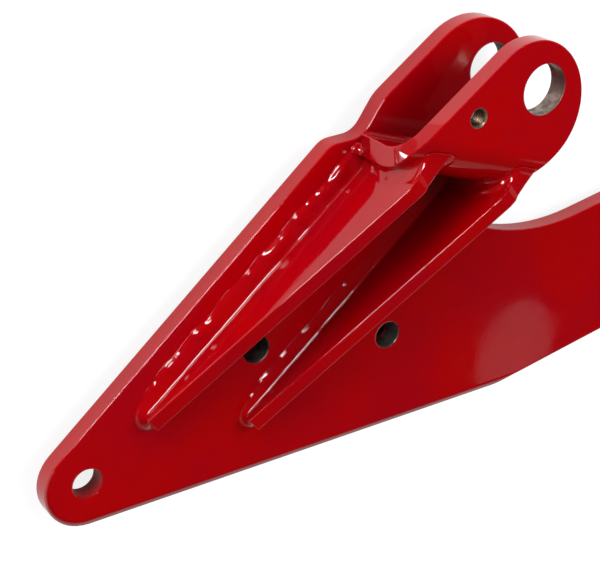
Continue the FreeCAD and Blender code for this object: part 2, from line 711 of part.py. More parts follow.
def web_corner(row, side):
    """Where a gusset's side face meets the strap's outer face, at the foot."""
    point, angle = gusset_face(row, side)
    web = direction(90 - size("bend_line_angle")) * (-size("web_reach"))
    web.z = point.z
    return crossing(point, angle, web, -size("bend_line_angle"))


def hollow_wedge(corner, angle_a, reach_a, angle_b, reach_b, hollow):
    """Plan of a weld in an upright corner, with a hollow outer face."""
    first = corner + direction(angle_a) * reach_a
    last = corner + direction(angle_b) * reach_b
    middle = (first + last) * 0.5
    middle = middle + (corner - middle).normalize() * hollow
    edges = [Part.makeLine(corner, first), Part.Arc(first, middle, last).toShape(),
             Part.makeLine(last, corner)]
    return Part.Face(Part.Wire(edges))


def weld_fill(label, raw, neighbours):
    """Weld metal that fills a corner up to the pieces around it."""
    shape = raw
    for item in neighbours:
        shape = shape.cut(item.Shape)
    solids = sorted(shape.Solids, key=lambda solid: solid.Volume)
    feature = doc.addObject("Part::Feature", label)
    feature.Shape = solids[-1]
    feature.Label = label
    feature.Placement = FreeCAD.Placement()
    parts.append(feature)
    return feature


def ear_weld(label, row, side, neighbours):
    """The upright bead between a gusset's side and the strap."""
    corner = web_corner(row, side)
    along_web = 180 - size("bend_line_angle") if side > 0 else -size("bend_line_angle")
    leg = size("ear_weld_leg")
    plan = hollow_wedge(corner, 180 + size("gusset_angle"), leg, along_web, leg,
                        size("ear_weld_hollow"))
    height = full_height() - outer_radius() * 0.12
    return weld_fill(label, plan.extrude(UP * height), neighbours)


def web_point(outward, along):
    """A point on the plate's front, measured square to the web and along it."""
    turn = size("bend_line_angle")
    point = direction(90 - turn) * outward + direction(-turn) * along
    point.z = plate_front()
    return point


def web_end():
    """Where the web's square-cut end lies, measured along the web."""
    turn = size("bend_line_angle")
    return -size("web_end_reach") * cos(turn) - size("strap_top_edge") * sin(turn)


def foot_bead(first, last, out, leg):
    """A hollow bead whose root runs from one point to another, with one leg going out."""
    hollow = leg * 0.13
    run = last - first
    root = first
    toe, crown = root + out * leg, root + UP * leg
    middle = (toe + crown) * 0.5
    middle = middle + (root - middle).normalize() * hollow
    edges = [Part.makeLine(root, toe), Part.Arc(toe, middle, crown).toShape(), Part.makeLine(crown, root)]
    return Part.Face(Part.Wire(edges)).extrude(run)


def outer_foot_weld(neighbours):
    """The bead at the web's foot between the two gussets."""
    first, last = web_corner("upper", -1), web_corner("lower", 1)
    out = direction(270 - size("bend_line_angle"))
    return weld_fill("ear_foot_outer_weld", foot_bead(first, last, out, size("weld_leg")), neighbours)


def inner_foot_weld(neighbours):
    """The smaller bead at the web's foot inside the clevis."""
    face, leg = size("strap_thickness") - size("web_reach"), size("inner_weld_leg")
    turn = size("bend_line_angle")
    low_edge = size("head_radius") + size("strap_head_drop")
    finish = (low_edge + face * cos(turn)) / sin(turn)
    first, last = web_point(face, web_end() + leg), web_point(face, finish - leg)
    bead = foot_bead(first, last, direction(90 - turn), leg)
    return weld_fill("ear_foot_inner_weld", bead, neighbours)


def end_weld(plate, neighbours):
    """The short bead across the web's end, as far as the plate's edge."""
    face = size("web_reach")
    first, last = web_point(-face, web_end()), web_point(size("strap_thickness") - face, web_end())
    bead = foot_bead(first, last, direction(180 - size("bend_line_angle")), size("end_weld_leg"))
    over_plate = plate.Shape.translated(UP * size("plate_thickness"))
    return weld_fill("ear_end_weld", bead.common(over_plate), neighbours)


# Weld nuts on the back of the plate

def nut_center(letter):
    name = "mount_" + letter
    return VEC(-size(name + "_reach"), -size(name + "_drop"), plate_back())


def hexagon(sketch):
    corner = size("nut_across_flats") / 2 / cos(30)
    points = [polar(VEC(), corner, 60 * i) for i in range(6)]
    sketch.addGeometry([line(a, b) for a, b in zip(points, points[1:] + points[:1])], False)
    ring = sketch.addGeometry(Part.Circle(VEC(), UP, corner), True)
    relate(sketch, *[("Coincident", i, 2, (i + 1) % 6, 1) for i in range(6)])
    relate(sketch, *[("PointOnObject", i, 1, ring) for i in range(6)])
    relate(sketch, *[("Equal", 0, i) for i in range(1, 6)])
    relate(sketch, ("Coincident", ring, 3, -1, 1), ("PointOnObject", 0, 1, -1))
    bind(sketch, "corners", "Sizes.nut_across_flats / cos(30 deg)", "Diameter", ring, 2 * corner)


def weld_nut(letter):
    body = new_body("weld_nut_" + letter)
    sketch = new_sketch(body, "nut_plan_" + letter, "XY_Plane")
    hexagon(sketch)
    pad(body, "nut_blank_" + letter, sketch, "Sizes.nut_height")
    section = new_sketch(body, "nut_turning_" + letter, "XZ_Plane")
    corner = size("nut_across_flats") / 2 / cos(30)
    cut = size("nut_chamfer")
    section.addGeometry([line(VEC(corner, 0, 0), VEC(corner, cut, 0)),
                         line(VEC(corner, cut, 0), VEC(corner - 2 * cut, 0, 0)),
                         line(VEC(corner - 2 * cut, 0, 0), VEC(corner, 0, 0))], False)
    relate(section, ("Coincident", 0, 2, 1, 1), ("Coincident", 1, 2, 2, 1), ("Coincident", 2, 2, 0, 1),
           ("Vertical", 0), ("PointOnObject", 0, 1, -1), ("PointOnObject", 1, 2, -1))
    bind(section, "corner", "Sizes.nut_across_flats / 2 / cos(30 deg)", "DistanceX", -1, 1, 0, 1, corner)
    bind(section, "height", "Sizes.nut_chamfer", "DistanceY", 0, 1, 0, 2, cut)
    bind(section, "width", "Sizes.nut_chamfer * 2", "DistanceX", 1, 2, 0, 1, 2 * cut)
    before = body.Shape.Volume
    groove = body.newObject("PartDesign::Groove", "nut_chamfer_" + letter)
    groove.Profile = section
    groove.ReferenceAxis = (section, ["V_Axis"])
    groove.Angle = 360
    settle(groove)
    if body.Shape.Volume > before - 1.0:
        raise RuntimeError("the nut's chamfer removed nothing")
    hole = new_sketch(body, "nut_hole_" + letter, "XY_Plane", z="Sizes.nut_height")
    circle_at(hole, "thread", VEC(), "nut_thread")
    pocket(body, "nut_bore_" + letter, hole)
    body.setExpression("Placement.Base.x", "-Sizes.mount_%s_reach" % letter)
    body.setExpression("Placement.Base.y", "-Sizes.mount_%s_drop" % letter)
    body.setExpression("Placement.Base.z",
                       "-Sizes.ear_gap / 2 - Sizes.plate_thickness - Sizes.nut_height")
    doc.recompute()
    return body


def nut_weld(letter, nut):
    """A fillet round the nut's foot against the back of the plate."""
    center = nut_center(letter)
    corner = size("nut_across_flats") / 2 / cos(30)
    leg = size("nut_weld_leg")
    cone = Part.makeCone(corner + leg, corner, leg, center, VEC(0, 0, -1))
    bore = Part.makeCylinder(size("nut_thread") / 2 + 1, leg, center, VEC(0, 0, -1))
    return weld_fill("weld_nut_%s_weld" % letter, cone.cut(bore), [nut])


def build():
    plate = main_plate()
    ear = front_ear()
    upper = gusset("upper")
    lower = gusset("lower")
    upper_outer = side_weld("upper", "upper_gusset_outer_weld", 1)
    upper_inner = side_weld("upper", "upper_gusset_inner_weld", -1)
    lower_inner = side_weld("lower", "lower_gusset_inner_weld", 1)
    lower_outer = side_weld("lower", "lower_gusset_outer_weld", -1, "Sizes.gusset_ramp * 0.95")
    toe_weld("upper")
    toe_weld("lower")
    solids = [plate, ear, upper, lower, upper_outer, upper_inner, lower_inner, lower_outer]
    solids.append(outer_foot_weld(solids))
    inner_foot_weld(solids)
    solids.append(ear_weld("upper_gusset_ear_outer_weld", "upper", 1, solids))
    end_weld(plate, solids)
    ear_weld("upper_gusset_ear_inner_weld", "upper", -1, solids)
    ear_weld("lower_gusset_ear_weld", "lower", 1, solids)
    for letter in "ab":
        nut_weld(letter, weld_nut(letter))


def check_and_write():
    doc.recompute()
    for item in doc.Objects:
        if "Invalid" in item.State or "Error" in item.State:
            raise RuntimeError("%s: %s" % (item.Name, item.State))
    os.makedirs("parts", exist_ok=True)
    for item in parts:
        shape = item.Shape
        if shape.isNull() or not shape.isValid() or len(shape.Solids) != 1:
            raise RuntimeError("%s is not one sound solid" % item.Label)
    for item in parts:
        item.Shape.exportStep("parts/%s.step" % item.Label)
        print("%-32s %10.1f mm3" % (item.Label, item.Shape.Volume))


build()
check_and_write()
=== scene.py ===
import math

import bmesh
import bpy
from bpy.props import FloatProperty, FloatVectorProperty, PointerProperty
from mathutils import Matrix, Quaternion, Vector, noise


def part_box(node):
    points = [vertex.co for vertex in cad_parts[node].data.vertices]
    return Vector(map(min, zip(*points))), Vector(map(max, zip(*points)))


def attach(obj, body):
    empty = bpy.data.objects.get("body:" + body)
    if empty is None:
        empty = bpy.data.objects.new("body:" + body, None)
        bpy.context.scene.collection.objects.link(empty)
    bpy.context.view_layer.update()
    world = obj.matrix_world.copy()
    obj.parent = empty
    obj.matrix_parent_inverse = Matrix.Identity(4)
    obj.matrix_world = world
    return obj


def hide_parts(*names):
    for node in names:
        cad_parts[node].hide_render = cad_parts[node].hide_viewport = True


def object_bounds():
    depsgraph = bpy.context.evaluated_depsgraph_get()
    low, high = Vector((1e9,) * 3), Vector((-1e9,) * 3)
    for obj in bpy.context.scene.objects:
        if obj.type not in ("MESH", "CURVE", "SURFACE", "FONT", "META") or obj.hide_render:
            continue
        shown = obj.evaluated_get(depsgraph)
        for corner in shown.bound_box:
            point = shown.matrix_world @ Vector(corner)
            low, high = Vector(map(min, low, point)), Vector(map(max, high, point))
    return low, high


bl_info = {
    "name": "Top Link",
    "version": (1, 0, 0),
    "blender": (4, 5, 0),
    "location": "3D View > Sidebar > Top Link",
    "description": "Dresses the welded top link: red enamel, bare bores, weld runs and threads",
    "category": "Object",
}

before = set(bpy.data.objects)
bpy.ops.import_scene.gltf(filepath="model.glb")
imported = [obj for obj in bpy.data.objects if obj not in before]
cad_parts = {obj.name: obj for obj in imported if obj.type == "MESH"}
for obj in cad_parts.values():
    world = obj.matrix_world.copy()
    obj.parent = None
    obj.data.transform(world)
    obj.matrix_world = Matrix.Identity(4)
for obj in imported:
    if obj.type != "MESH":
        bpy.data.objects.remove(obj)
CAD_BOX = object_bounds()

# Levels and directions of the weldment, in metres, in the frame of the solids.
PLATE_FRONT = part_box("main_plate")[1].z
PLATE_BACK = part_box("main_plate")[0].z
EAR_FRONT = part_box("front_ear")[1].z
EAR_BACK = EAR_FRONT - (PLATE_FRONT - PLATE_BACK)
UP = Vector((0, 0, 1))

# Holes, and the round tip with the lower edge that runs on from it.
PIN_RADIUS = 0.01525
LOCK_RADIUS = 0.0051
LOCK_CHAMFER = 0.0009
LOCK_CENTER = (-0.0431, 0.0205)
NUT_CENTERS = {"a": (-0.2154, -0.0208), "b": (-0.1485, -0.0888)}
NUT_RADIUS = 0.0070
BOLT_RADIUS = 0.00865
ARM_CENTER = (0.134, -0.2546)
BORE_SLACK = 0.00012
POCKET_REACH = 0.06
TIP_CENTER = Vector((-0.3376, -0.0009, 0.0))
TIP_RADIUS = 0.0256
SOFT_RIM = 0.0050
LOWER_EDGE_FALL = math.radians(35.1)

# The strap's web stands on the plate at this distance from the pin axis, square to BEND_OUT.
BEND_OUT = Vector((math.cos(math.radians(36)), math.sin(math.radians(36)), 0))
BEND_ALONG = Vector((math.cos(math.radians(-54)), math.sin(math.radians(-54)), 0))
WEB_OUTER = -0.0633
WEB_INNER = -0.0513
BEND_RADIUS = 0.026
BEND_LINE_ANGLE = math.radians(54)
WEB_END = -0.08006
WEB_LOW_EDGE = -0.0420

# The edge of the bend has been ground back between these turns. The softbox shows at one place
# of it. Below the bend, the edge leans one way under LEAN_LEVEL and the other way above it.
GROUND_LOW, GROUND_HIGH = math.radians(28), math.radians(106)
GLINT_TURN = math.radians(60)
GLINT_REACH = BEND_RADIUS - 0.0070
LEAN_OUT = 0.0603
LEAN_LEVEL = -0.0056

GUSSET_DIRECTION = Vector((math.cos(math.radians(4.25)), math.sin(math.radians(4.25)), 0))
GUSSET_ACROSS = Vector((-GUSSET_DIRECTION.y, GUSSET_DIRECTION.x, 0))
GUSSET_HALF = 0.005
TOE_STEPS = 16
TOE_SHARE = (0.52, 1.35)
LOWER_INNER_RUN = 0.1805

# A gusset's run up the strap ends at this turn of the bend.
JOINT_TOP = math.radians(56)
JOINT_WIDTH, JOINT_HEIGHT = 0.0095, 0.0052
GUSSET_TOES = {
    "upper": Vector((-0.2885, 0.0018, PLATE_FRONT)),
    "lower": Vector((-0.2470, -0.0532, PLATE_FRONT)),
}


# Sizes and colours that a user would change

class TopLinkPaint(bpy.types.PropertyGroup):
    colour: FloatVectorProperty(
        name="Enamel Colour", description="Colour of the sprayed enamel", subtype="COLOR",
        size=3, min=0.0, max=1.0, default=(0.390, 0.0, 0.0012))
    deep_colour: FloatVectorProperty(
        name="Thick Enamel Colour", description="Colour where the enamel has run thick",
        subtype="COLOR", size=3, min=0.0, max=1.0, default=(0.345, 0.0, 0.0045))
    # Painted shade: the enamel is darkened towards this colour in the pockets between the plates,
    # where ambient occlusion finds little open space.
    painted_shade_colour: FloatVectorProperty(
        name="Painted Pocket Shade Colour", description="Painted shade colour that the enamel turns to deep between the plates",
        subtype="COLOR", size=3, min=0.0, max=1.0, default=(0.165, 0.0, 0.0018))
    roughness: FloatProperty(
        name="Roughness", description="How blurred the enamel's reflections are",
        subtype="FACTOR", min=0.0, max=1.0, default=0.055)
    peel_size: FloatProperty(
        name="Peel Size", description="Width of the waves of orange peel in the enamel",
        unit="LENGTH", min=0.0005, max=0.05, default=0.0035)
    peel_depth: FloatProperty(
        name="Peel Depth", description="Height of the waves of orange peel in the enamel",
        unit="LENGTH", min=0.0, max=0.001, default=0.000006)
    edge_round: FloatProperty(
        name="Edge Round", description="How far the enamel rounds a sharp edge",
        unit="LENGTH", min=0.0, max=0.003, default=0.0009)


class TopLinkSteel(bpy.types.PropertyGroup):
    colour: FloatVectorProperty(
        name="Bare Steel", description="Colour of the machined steel in the pin bores",
        subtype="COLOR", size=3, min=0.0, max=1.0, default=(0.36, 0.32, 0.28))
    stain: FloatVectorProperty(
        name="Stain", description="Colour of the brown film on the bare steel",
        subtype="COLOR", size=3, min=0.0, max=1.0, default=(0.13, 0.085, 0.055))
    thread_colour: FloatVectorProperty(
        name="Thread Steel", description="Colour of the cut threads in the ear",
        subtype="COLOR", size=3, min=0.0, max=1.0, default=(0.13, 0.085, 0.052))
    rim_colour: FloatVectorProperty(
        name="Thread Rim Colour", description="Colour of the bared rim round the thread in the ear",
        subtype="COLOR", size=3, min=0.0, max=1.0, default=(0.60, 0.46, 0.34))
    black_colour: FloatVectorProperty(
        name="Bolt Hole Colour", description="Colour of the walls of the bolt holes",
        subtype="COLOR", size=3, min=0.0, max=1.0, default=(0.42, 0.44, 0.40))
    nut_colour: FloatVectorProperty(
        name="Nut Steel", description="Colour of the blackened steel inside the nuts",
        subtype="COLOR", size=3, min=0.0, max=1.0, default=(0.045, 0.048, 0.040))
    roughness: FloatProperty(
        name="Roughness", description="How dull the bare steel is",
        subtype="FACTOR", min=0.0, max=1.0, default=0.42)


class TopLinkWelds(bpy.types.PropertyGroup):
    width: FloatProperty(
        name="Width", description="How far a weld run reaches out on the plate",
        unit="LENGTH", min=0.002, max=0.02, default=0.0108)
    height: FloatProperty(
        name="Height", description="How far a weld run climbs the gusset",
        unit="LENGTH", min=0.002, max=0.02, default=0.0046)
    ripple_pitch: FloatProperty(
        name="Ripple Pitch", description="Distance between two ripples of a weld run",
        unit="LENGTH", min=0.0005, max=0.02, default=0.0034)
    ripple_depth: FloatProperty(
        name="Ripple Depth", description="Height of the ripples of a weld run",
        unit="LENGTH", min=0.0, max=0.002, default=0.000025)
    unevenness: FloatProperty(
        name="Unevenness", description="How far a weld run swells and sinks",
        unit="LENGTH", min=0.0, max=0.003, default=0.00032)


class TopLinkThreads(bpy.types.PropertyGroup):
    lock_pitch: FloatProperty(
        name="Lock Thread Pitch", description="Pitch of the thread in the ear",
        unit="LENGTH", min=0.0005, max=0.004, default=0.00175)
    nut_pitch: FloatProperty(
        name="Nut Thread Pitch", description="Pitch of the thread in the weld nuts",
        unit="LENGTH", min=0.0005, max=0.004, default=0.0020)
    depth: FloatProperty(
        name="Thread Depth", description="How far the turns stand out of the bore",
        unit="LENGTH", min=0.0001, max=0.002, default=0.00055)


class TopLinkStudio(bpy.types.PropertyGroup):
    floor_colour: FloatVectorProperty(
        name="Floor Colour", description="Colour of the plain floor", subtype="COLOR",
        size=3, min=0.0, max=1.0, default=(0.80, 0.80, 0.80))
    key_power: FloatProperty(
        name="Key Power", description="Power of the strip softbox that shows in the welds",
        unit="POWER", min=0.0, default=15.5)
    fill_power: FloatProperty(
        name="Fill Power", description="Power of the four fill lights together",
        unit="POWER", min=0.0, default=80.0)
    card_power: FloatProperty(
        name="Card Power", description="Power of the dim card that shows in the plate",
        unit="POWER", min=0.0, default=0.022)
    ambient: FloatProperty(
        name="Ambient", description="Strength of the even light from all round",
        min=0.0, max=2.0, default=0.42)
    lens: FloatProperty(
        name="Lens", description="Focal length of the camera for a 36 mm sensor",
        unit="CAMERA", min=10.0, max=500.0, default=93.159)
    camera_place: FloatVectorProperty(
        name="Camera Place", description="Where the camera stands", subtype="TRANSLATION",
        size=3, default=(-0.304512, 0.563081, 0.659564))
    camera_turn: FloatVectorProperty(
        name="Camera Turn", description="How the camera is turned", subtype="QUATERNION",
        size=4, default=(0.871858, -0.288592, -0.198342, -0.342401))


class TopLinkSettings(bpy.types.PropertyGroup):
    paint: PointerProperty(type=TopLinkPaint, name="Paint", description="The enamel")
    steel: PointerProperty(type=TopLinkSteel, name="Steel", description="The bare steel")
    welds: PointerProperty(type=TopLinkWelds, name="Welds", description="The weld runs")
    threads: PointerProperty(type=TopLinkThreads, name="Threads", description="The threads")
    studio: PointerProperty(type=TopLinkStudio, name="Studio",
                            description="Floor, light and camera")


def settings():
    return bpy.context.scene.top_link


# Shader node groups

def new_group(name, inputs, outputs):
    """An empty shader group with its sockets: (name, socket type, default)."""
    group = bpy.data.node_groups.new(name, "ShaderNodeTree")
    for way, rows in (("INPUT", inputs), ("OUTPUT", outputs)):
        for label, kind, default in rows:
            socket = group.interface.new_socket(name=label, in_out=way,
                                                socket_type="NodeSocket" + kind)
            if default is not None:
                socket.default_value = default
    return group, group.nodes.new("NodeGroupInput"), group.nodes.new("NodeGroupOutput")


def put(tree, value, socket):
    """Links a socket, or a node's first output, to an input, or sets the input to a value."""
    if isinstance(value, bpy.types.Node):
        value = value.outputs[0]
    if isinstance(value, bpy.types.NodeSocket):
        tree.links.new(value, socket)
    else:
        socket.default_value = value


def put_all(tree, node, values):
    for index, value in enumerate(values):
        put(tree, value, node.inputs[index])
    return node


def feed(tree, node, **values):
    """Puts values to a node's inputs by their names (underscores for spaces)."""
    for name, value in values.items():
        put(tree, value, node.inputs[name.replace("_", " ")])
    return node


def calc(tree, operation, *values, clamp=False):
    node = tree.nodes.new("ShaderNodeMath")
    node.operation = operation
    node.use_clamp = clamp
    return put_all(tree, node, values)


def times(tree, first, second):
    return calc(tree, "MULTIPLY", first, second)


def vector_step(tree, operation, first, second=(0, 0, 0)):
    node = tree.nodes.new("ShaderNodeVectorMath")
    node.operation = operation
    return put_all(tree, node, (first, second))


def reach_along(tree, point, direction):
    return vector_step(tree, "DOT_PRODUCT", point, direction).outputs["Value"]


def blend_colour(tree, factor, first, second):
    node = tree.nodes.new("ShaderNodeMix")
    node.data_type = "RGBA"
    for index, value in ((0, factor), (6, first), (7, second)):
        if not isinstance(value, (float, bpy.types.NodeSocket)):
            value = (*value[:3], 1.0)
        put(tree, value, node.inputs[index])
    return node.outputs[2]


def object_point(tree):
    return tree.nodes.new("ShaderNodeTexCoord").outputs["Object"]


def noise_on(tree, vector, scale, detail=2.0, rough=0.5):
    node = tree.nodes.new("ShaderNodeTexNoise")
    return feed(tree, node, Vector=vector, Scale=scale, Detail=detail, Roughness=rough).outputs[0]


def spread(tree, value, low, high, to_low=0.0, to_high=1.0):
    node = tree.nodes.new("ShaderNodeMapRange")
    return put_all(tree, node, (value, low, high, to_low, to_high)).outputs[0]


def give_bumped(group, take, give, height, distance):
    """Bumps the incoming normal of a group and gives it out."""
    bump = feed(group, group.nodes.new("ShaderNodeBump"), Strength=1.0, Distance=distance,
                Height=height, Normal=take.outputs["Normal"])
    feed(group, give, Normal=bump)


def give_tilted(group, take, give, *tilts):
    """Adds tilts to the incoming normal of a group and gives it out."""
    normal = take.outputs["Normal"]
    for tilt in tilts:
        normal = vector_step(group, "ADD", normal, tilt)
    feed(group, give, Normal=vector_step(group, "NORMALIZE", normal))


def enamel_group():
    """Orange peel, dust, thick and thin places of a sprayed enamel, and painted shade in its
    pockets.
    """
    group, take, give = new_group(
        "Enamel Surface",
        [("Peel Size", "Float", 0.0035), ("Peel Depth", "Float", 0.000006),
         ("Roughness", "Float", 0.06), ("Normal", "Vector", None)],
        [("Thick", "Float", None), ("Shade", "Float", None), ("Roughness", "Float", None),
         ("Normal", "Vector", None)])
    point = object_point(group)
    # Painted shade: ambient occlusion, spread into the Shade output, darkens the enamel in pockets
    # and corners.
    painted_shade_occlusion = group.nodes.new("ShaderNodeAmbientOcclusion")
    painted_shade_occlusion.samples = 6
    feed(group, painted_shade_occlusion, Distance=POCKET_REACH)
    scale = calc(group, "DIVIDE", 1.0, take.outputs["Peel Size"])
    nibs = spread(group, noise_on(group, point, 900.0, 0.0), 0.74, 0.80, 0.0, 1.6)
    height = calc(group, "ADD", noise_on(group, point, scale, 1.0), nibs)
    give_bumped(group, take, give, height, take.outputs["Peel Depth"])
    mottle = spread(group, noise_on(group, point, 60.0), 0.3, 0.7, -0.35, 0.35)
    own = take.outputs["Roughness"]
    feed(group, give, Shade=spread(group, painted_shade_occlusion.outputs["AO"], 0.15, 0.66),
         Thick=spread(group, noise_on(group, point, 16.0, 3.0, 0.55), 0.38, 0.66),
         Roughness=calc(group, "MULTIPLY_ADD", mottle, own, own))
    return group


def bore_group():
    """A mask that is 1 on the wall of a round hole along Z."""
    group, take, give = new_group(
        "Bore Wall", [("Centre", "Vector", None), ("Radius", "Float", 0.01)],
        [("Mask", "Float", None)])
    away = vector_step(group, "SUBTRACT", object_point(group), take.outputs["Centre"])
    reach = vector_step(group, "LENGTH", vector_step(group, "MULTIPLY", away, (1, 1, 0)))
    gap = calc(group, "SUBTRACT", reach.outputs["Value"], take.outputs["Radius"])
    feed(group, give, Mask=calc(group, "LESS_THAN", gap, BORE_SLACK))
    return group


def machined_group():
    """Bare steel with a brown film, rings left by the tool and dull patches."""
    group, take, give = new_group(
        "Machined Steel",
        [("Steel", "Color", (0.4, 0.37, 0.33, 1)), ("Stain", "Color", (0.13, 0.09, 0.06, 1)),
         ("Roughness", "Float", 0.4), ("Ring Pitch", "Float", 0.0004), ("Normal", "Vector", None)],
        [("Color", "Color", None), ("Roughness", "Float", None), ("Normal", "Vector", None)])
    point = object_point(group)
    film = spread(group, noise_on(group, point, 140.0, 4.0, 0.6), 0.40, 0.68)
    turns = calc(group, "DIVIDE", reach_along(group, point, UP), take.outputs["Ring Pitch"])
    wave = calc(group, "SINE", times(group, turns, math.tau))
    height = calc(group, "MULTIPLY_ADD", noise_on(group, point, 1500.0, 1.0), 1.4, wave)
    give_bumped(group, take, give, height, 0.000018)
    feed(group, give,
         Color=blend_colour(group, film, take.outputs["Steel"], take.outputs["Stain"]),
         Roughness=calc(group, "MULTIPLY_ADD", film, 0.25, take.outputs["Roughness"], clamp=True))
    return group


def cut_edge_group():
    """Faint upright drag lines of a flame cut, on the narrow sides of a plate."""
    group, take, give = new_group(
        "Flame Cut Edge",
        [("Drag Pitch", "Float", 0.0012), ("Depth", "Float", 0.00003), ("Normal", "Vector", None)],
        [("Normal", "Vector", None)])
    squash = vector_step(group, "MULTIPLY", object_point(group), (1, 1, 0.12))
    scale = calc(group, "DIVIDE", 1.0, take.outputs["Drag Pitch"])
    facing = group.nodes.new("ShaderNodeNewGeometry").outputs["True Normal"]
    side = calc(group, "LESS_THAN", calc(group, "ABSOLUTE", reach_along(group, facing, UP)), 0.3)
    height = times(group, noise_on(group, squash, scale, 2.0, 0.6), side)
    give_bumped(group, take, give, height, take.outputs["Depth"])
    return group


def soft_rim_group():
    """Rounds the normals of the front face towards the tip's rim and the lower edge."""
    group, take, give = new_group("Soft Rim", [("Normal", "Vector", None)],
                                  [("Normal", "Vector", None)])
    lower = Vector((-math.sin(LOWER_EDGE_FALL), -math.cos(LOWER_EDGE_FALL), 0))
    line = Vector((-lower.y, lower.x, 0))
    away = vector_step(group, "SUBTRACT", object_point(group), TIP_CENTER)
    away = vector_step(group, "MULTIPLY", away, (1, 1, 0))
    left = spread(group, reach_along(group, away, (1, 0, 0)), -0.006, 0.0, 1.0, 0.0)
    before = spread(group, reach_along(group, away, line), -0.0002, 0.0002, 1.0, 0.0)
    round_reach = times(group, vector_step(group, "LENGTH", away).outputs["Value"],
                        times(group, left, before))
    line_reach = reach_along(group, away, lower)
    outward = group.nodes.new("ShaderNodeMix")
    outward.data_type = "VECTOR"
    for index, value in ((0, calc(group, "GREATER_THAN", round_reach, line_reach)), (4, lower),
                         (5, vector_step(group, "NORMALIZE", away))):
        put(group, value, outward.inputs[index])
    reach = calc(group, "MAXIMUM", round_reach, line_reach)
    amount = spread(group, reach, TIP_RADIUS - SOFT_RIM, TIP_RADIUS, 0.0, 1.30)
    true_normal = group.nodes.new("ShaderNodeNewGeometry").outputs["True Normal"]
    facing = spread(group, reach_along(group, true_normal, UP), 0.5, 0.9)
    amount = times(group, times(group, amount, amount), facing)
    give_tilted(group, take, give, vector_step(group, "MULTIPLY", outward.outputs[1], amount))
    return group


def ground_corner_group():
    """Tilts the normals of the strap's edge, where its bend has been ground back and below."""
    group, take, give = new_group("Ground Corner", [("Normal", "Vector", None)],
                                  [("Normal", "Vector", None)])
    point = object_point(group)
    out, level = reach_along(group, point, BEND_OUT), reach_along(group, point, UP)
    facing = spread(group, reach_along(group, take.outputs["Normal"], -BEND_ALONG), 0.6, 0.9)

    # Round the bend: more tilt in an oval that shows the softbox, and less around it.
    inward = calc(group, "SUBTRACT", WEB_OUTER + BEND_RADIUS, out)
    rise = calc(group, "SUBTRACT", level, EAR_FRONT - BEND_RADIUS)
    turn = calc(group, "ARCTAN2", rise, inward)
    reach = calc(group, "SQRT", calc(group, "ADD", times(group, rise, rise),
                                     times(group, inward, inward)))
    side = times(group, calc(group, "SUBTRACT", turn, GLINT_TURN), 4.4)
    depth = times(group, calc(group, "SUBTRACT", reach, GLINT_REACH), 160.0)
    gap = calc(group, "ADD", times(group, side, side), times(group, depth, depth))
    ground = times(group, spread(group, turn, GROUND_LOW, GROUND_LOW + 0.10),
                   spread(group, turn, GROUND_HIGH, GROUND_HIGH + 0.12, 1.0, 0.0))
    amount = times(group, spread(group, gap, 0.30, 1.30, 1.20, 0.88), ground)
    amount = times(group, amount, facing)
    tilt = vector_step(group, "MULTIPLY", amount, UP * 0.92 + BEND_OUT * 0.30)

    # Below the bend: a slanting line parts the two leans.
    below = spread(group, turn, GROUND_LOW, GROUND_LOW + 0.10, 1.0, 0.0)
    slant = times(group, calc(group, "ADD", out, LEAN_OUT), 0.5)
    slant = calc(group, "ADD", level, slant)
    amount = times(group, times(group, facing, below),
                   spread(group, slant, LEAN_LEVEL - 0.0006, LEAN_LEVEL + 0.0006, -0.5, 0.15))
    give_tilted(group, take, give, tilt, vector_step(group, "MULTIPLY", amount, BEND_OUT))
    return group


def shared_group(name, maker):
    return bpy.data.node_groups.get(name) or maker()


def place(tree, group, **values):
    node = tree.nodes.new("ShaderNodeGroup")
    node.node_tree = group
    return feed(tree, node, **values)


# Materials

def new_material(name):
    material = bpy.data.materials.new(name)
    material.use_nodes = True
    tree = material.node_tree
    shader = tree.nodes["Principled BSDF"]
    return material, tree, shader


def enamel(name, bores=(), rounding=0.0, shapers=()):
    """Glossy red enamel. Each bore is (x, y, radius, steel colour) and stays bare on its wall.

    The rounding of edges is a multiple of the paint's own. A shaper is the name and the maker of
    a group that changes the normals.
    """
    paint, steel = settings().paint, settings().steel
    material, tree, shader = new_material(name)
    coat = place(tree, shared_group("Enamel Surface", enamel_group), Peel_Size=paint.peel_size,
                 Peel_Depth=paint.peel_depth, Roughness=paint.roughness)
    if rounding:
        start = tree.nodes.new("ShaderNodeBevel")
        start.samples = 6
        feed(tree, start, Radius=paint.edge_round * rounding)
        for shaper in shapers:
            start = place(tree, shared_group(*shaper), Normal=start)
        feed(tree, coat, Normal=start)
    colour = blend_colour(tree, coat.outputs["Thick"], paint.colour, paint.deep_colour)
    # Painted shade: where the occlusion mask finds a pocket, the enamel turns towards the painted
    # shade colour.
    colour = blend_colour(tree, coat.outputs["Shade"], paint.painted_shade_colour, colour)
    rough, bare = coat.outputs["Roughness"], 0.0
    for x, y, radius, shade in bores:
        wall = place(tree, shared_group("Bore Wall", bore_group), Centre=(x, y, 0.0), Radius=radius)
        metal = place(tree, shared_group("Machined Steel", machined_group), Steel=(*shade, 1.0),
                      Stain=(*steel.stain, 1.0), Roughness=steel.roughness)
        mask = wall.outputs["Mask"]
        colour = blend_colour(tree, mask, colour, metal.outputs["Color"])
        mixing = tree.nodes.new("ShaderNodeMix")
        for index, value in ((0, mask), (2, rough), (3, metal.outputs["Roughness"])):
            put(tree, value, mixing.inputs[index])
        rough = mixing.outputs[0]
        bare = calc(tree, "MAXIMUM", bare, mask)
    feed(tree, shader, Base_Color=colour, Roughness=rough, Normal=coat.outputs["Normal"],
         Metallic=bare, IOR=1.5)
    return material


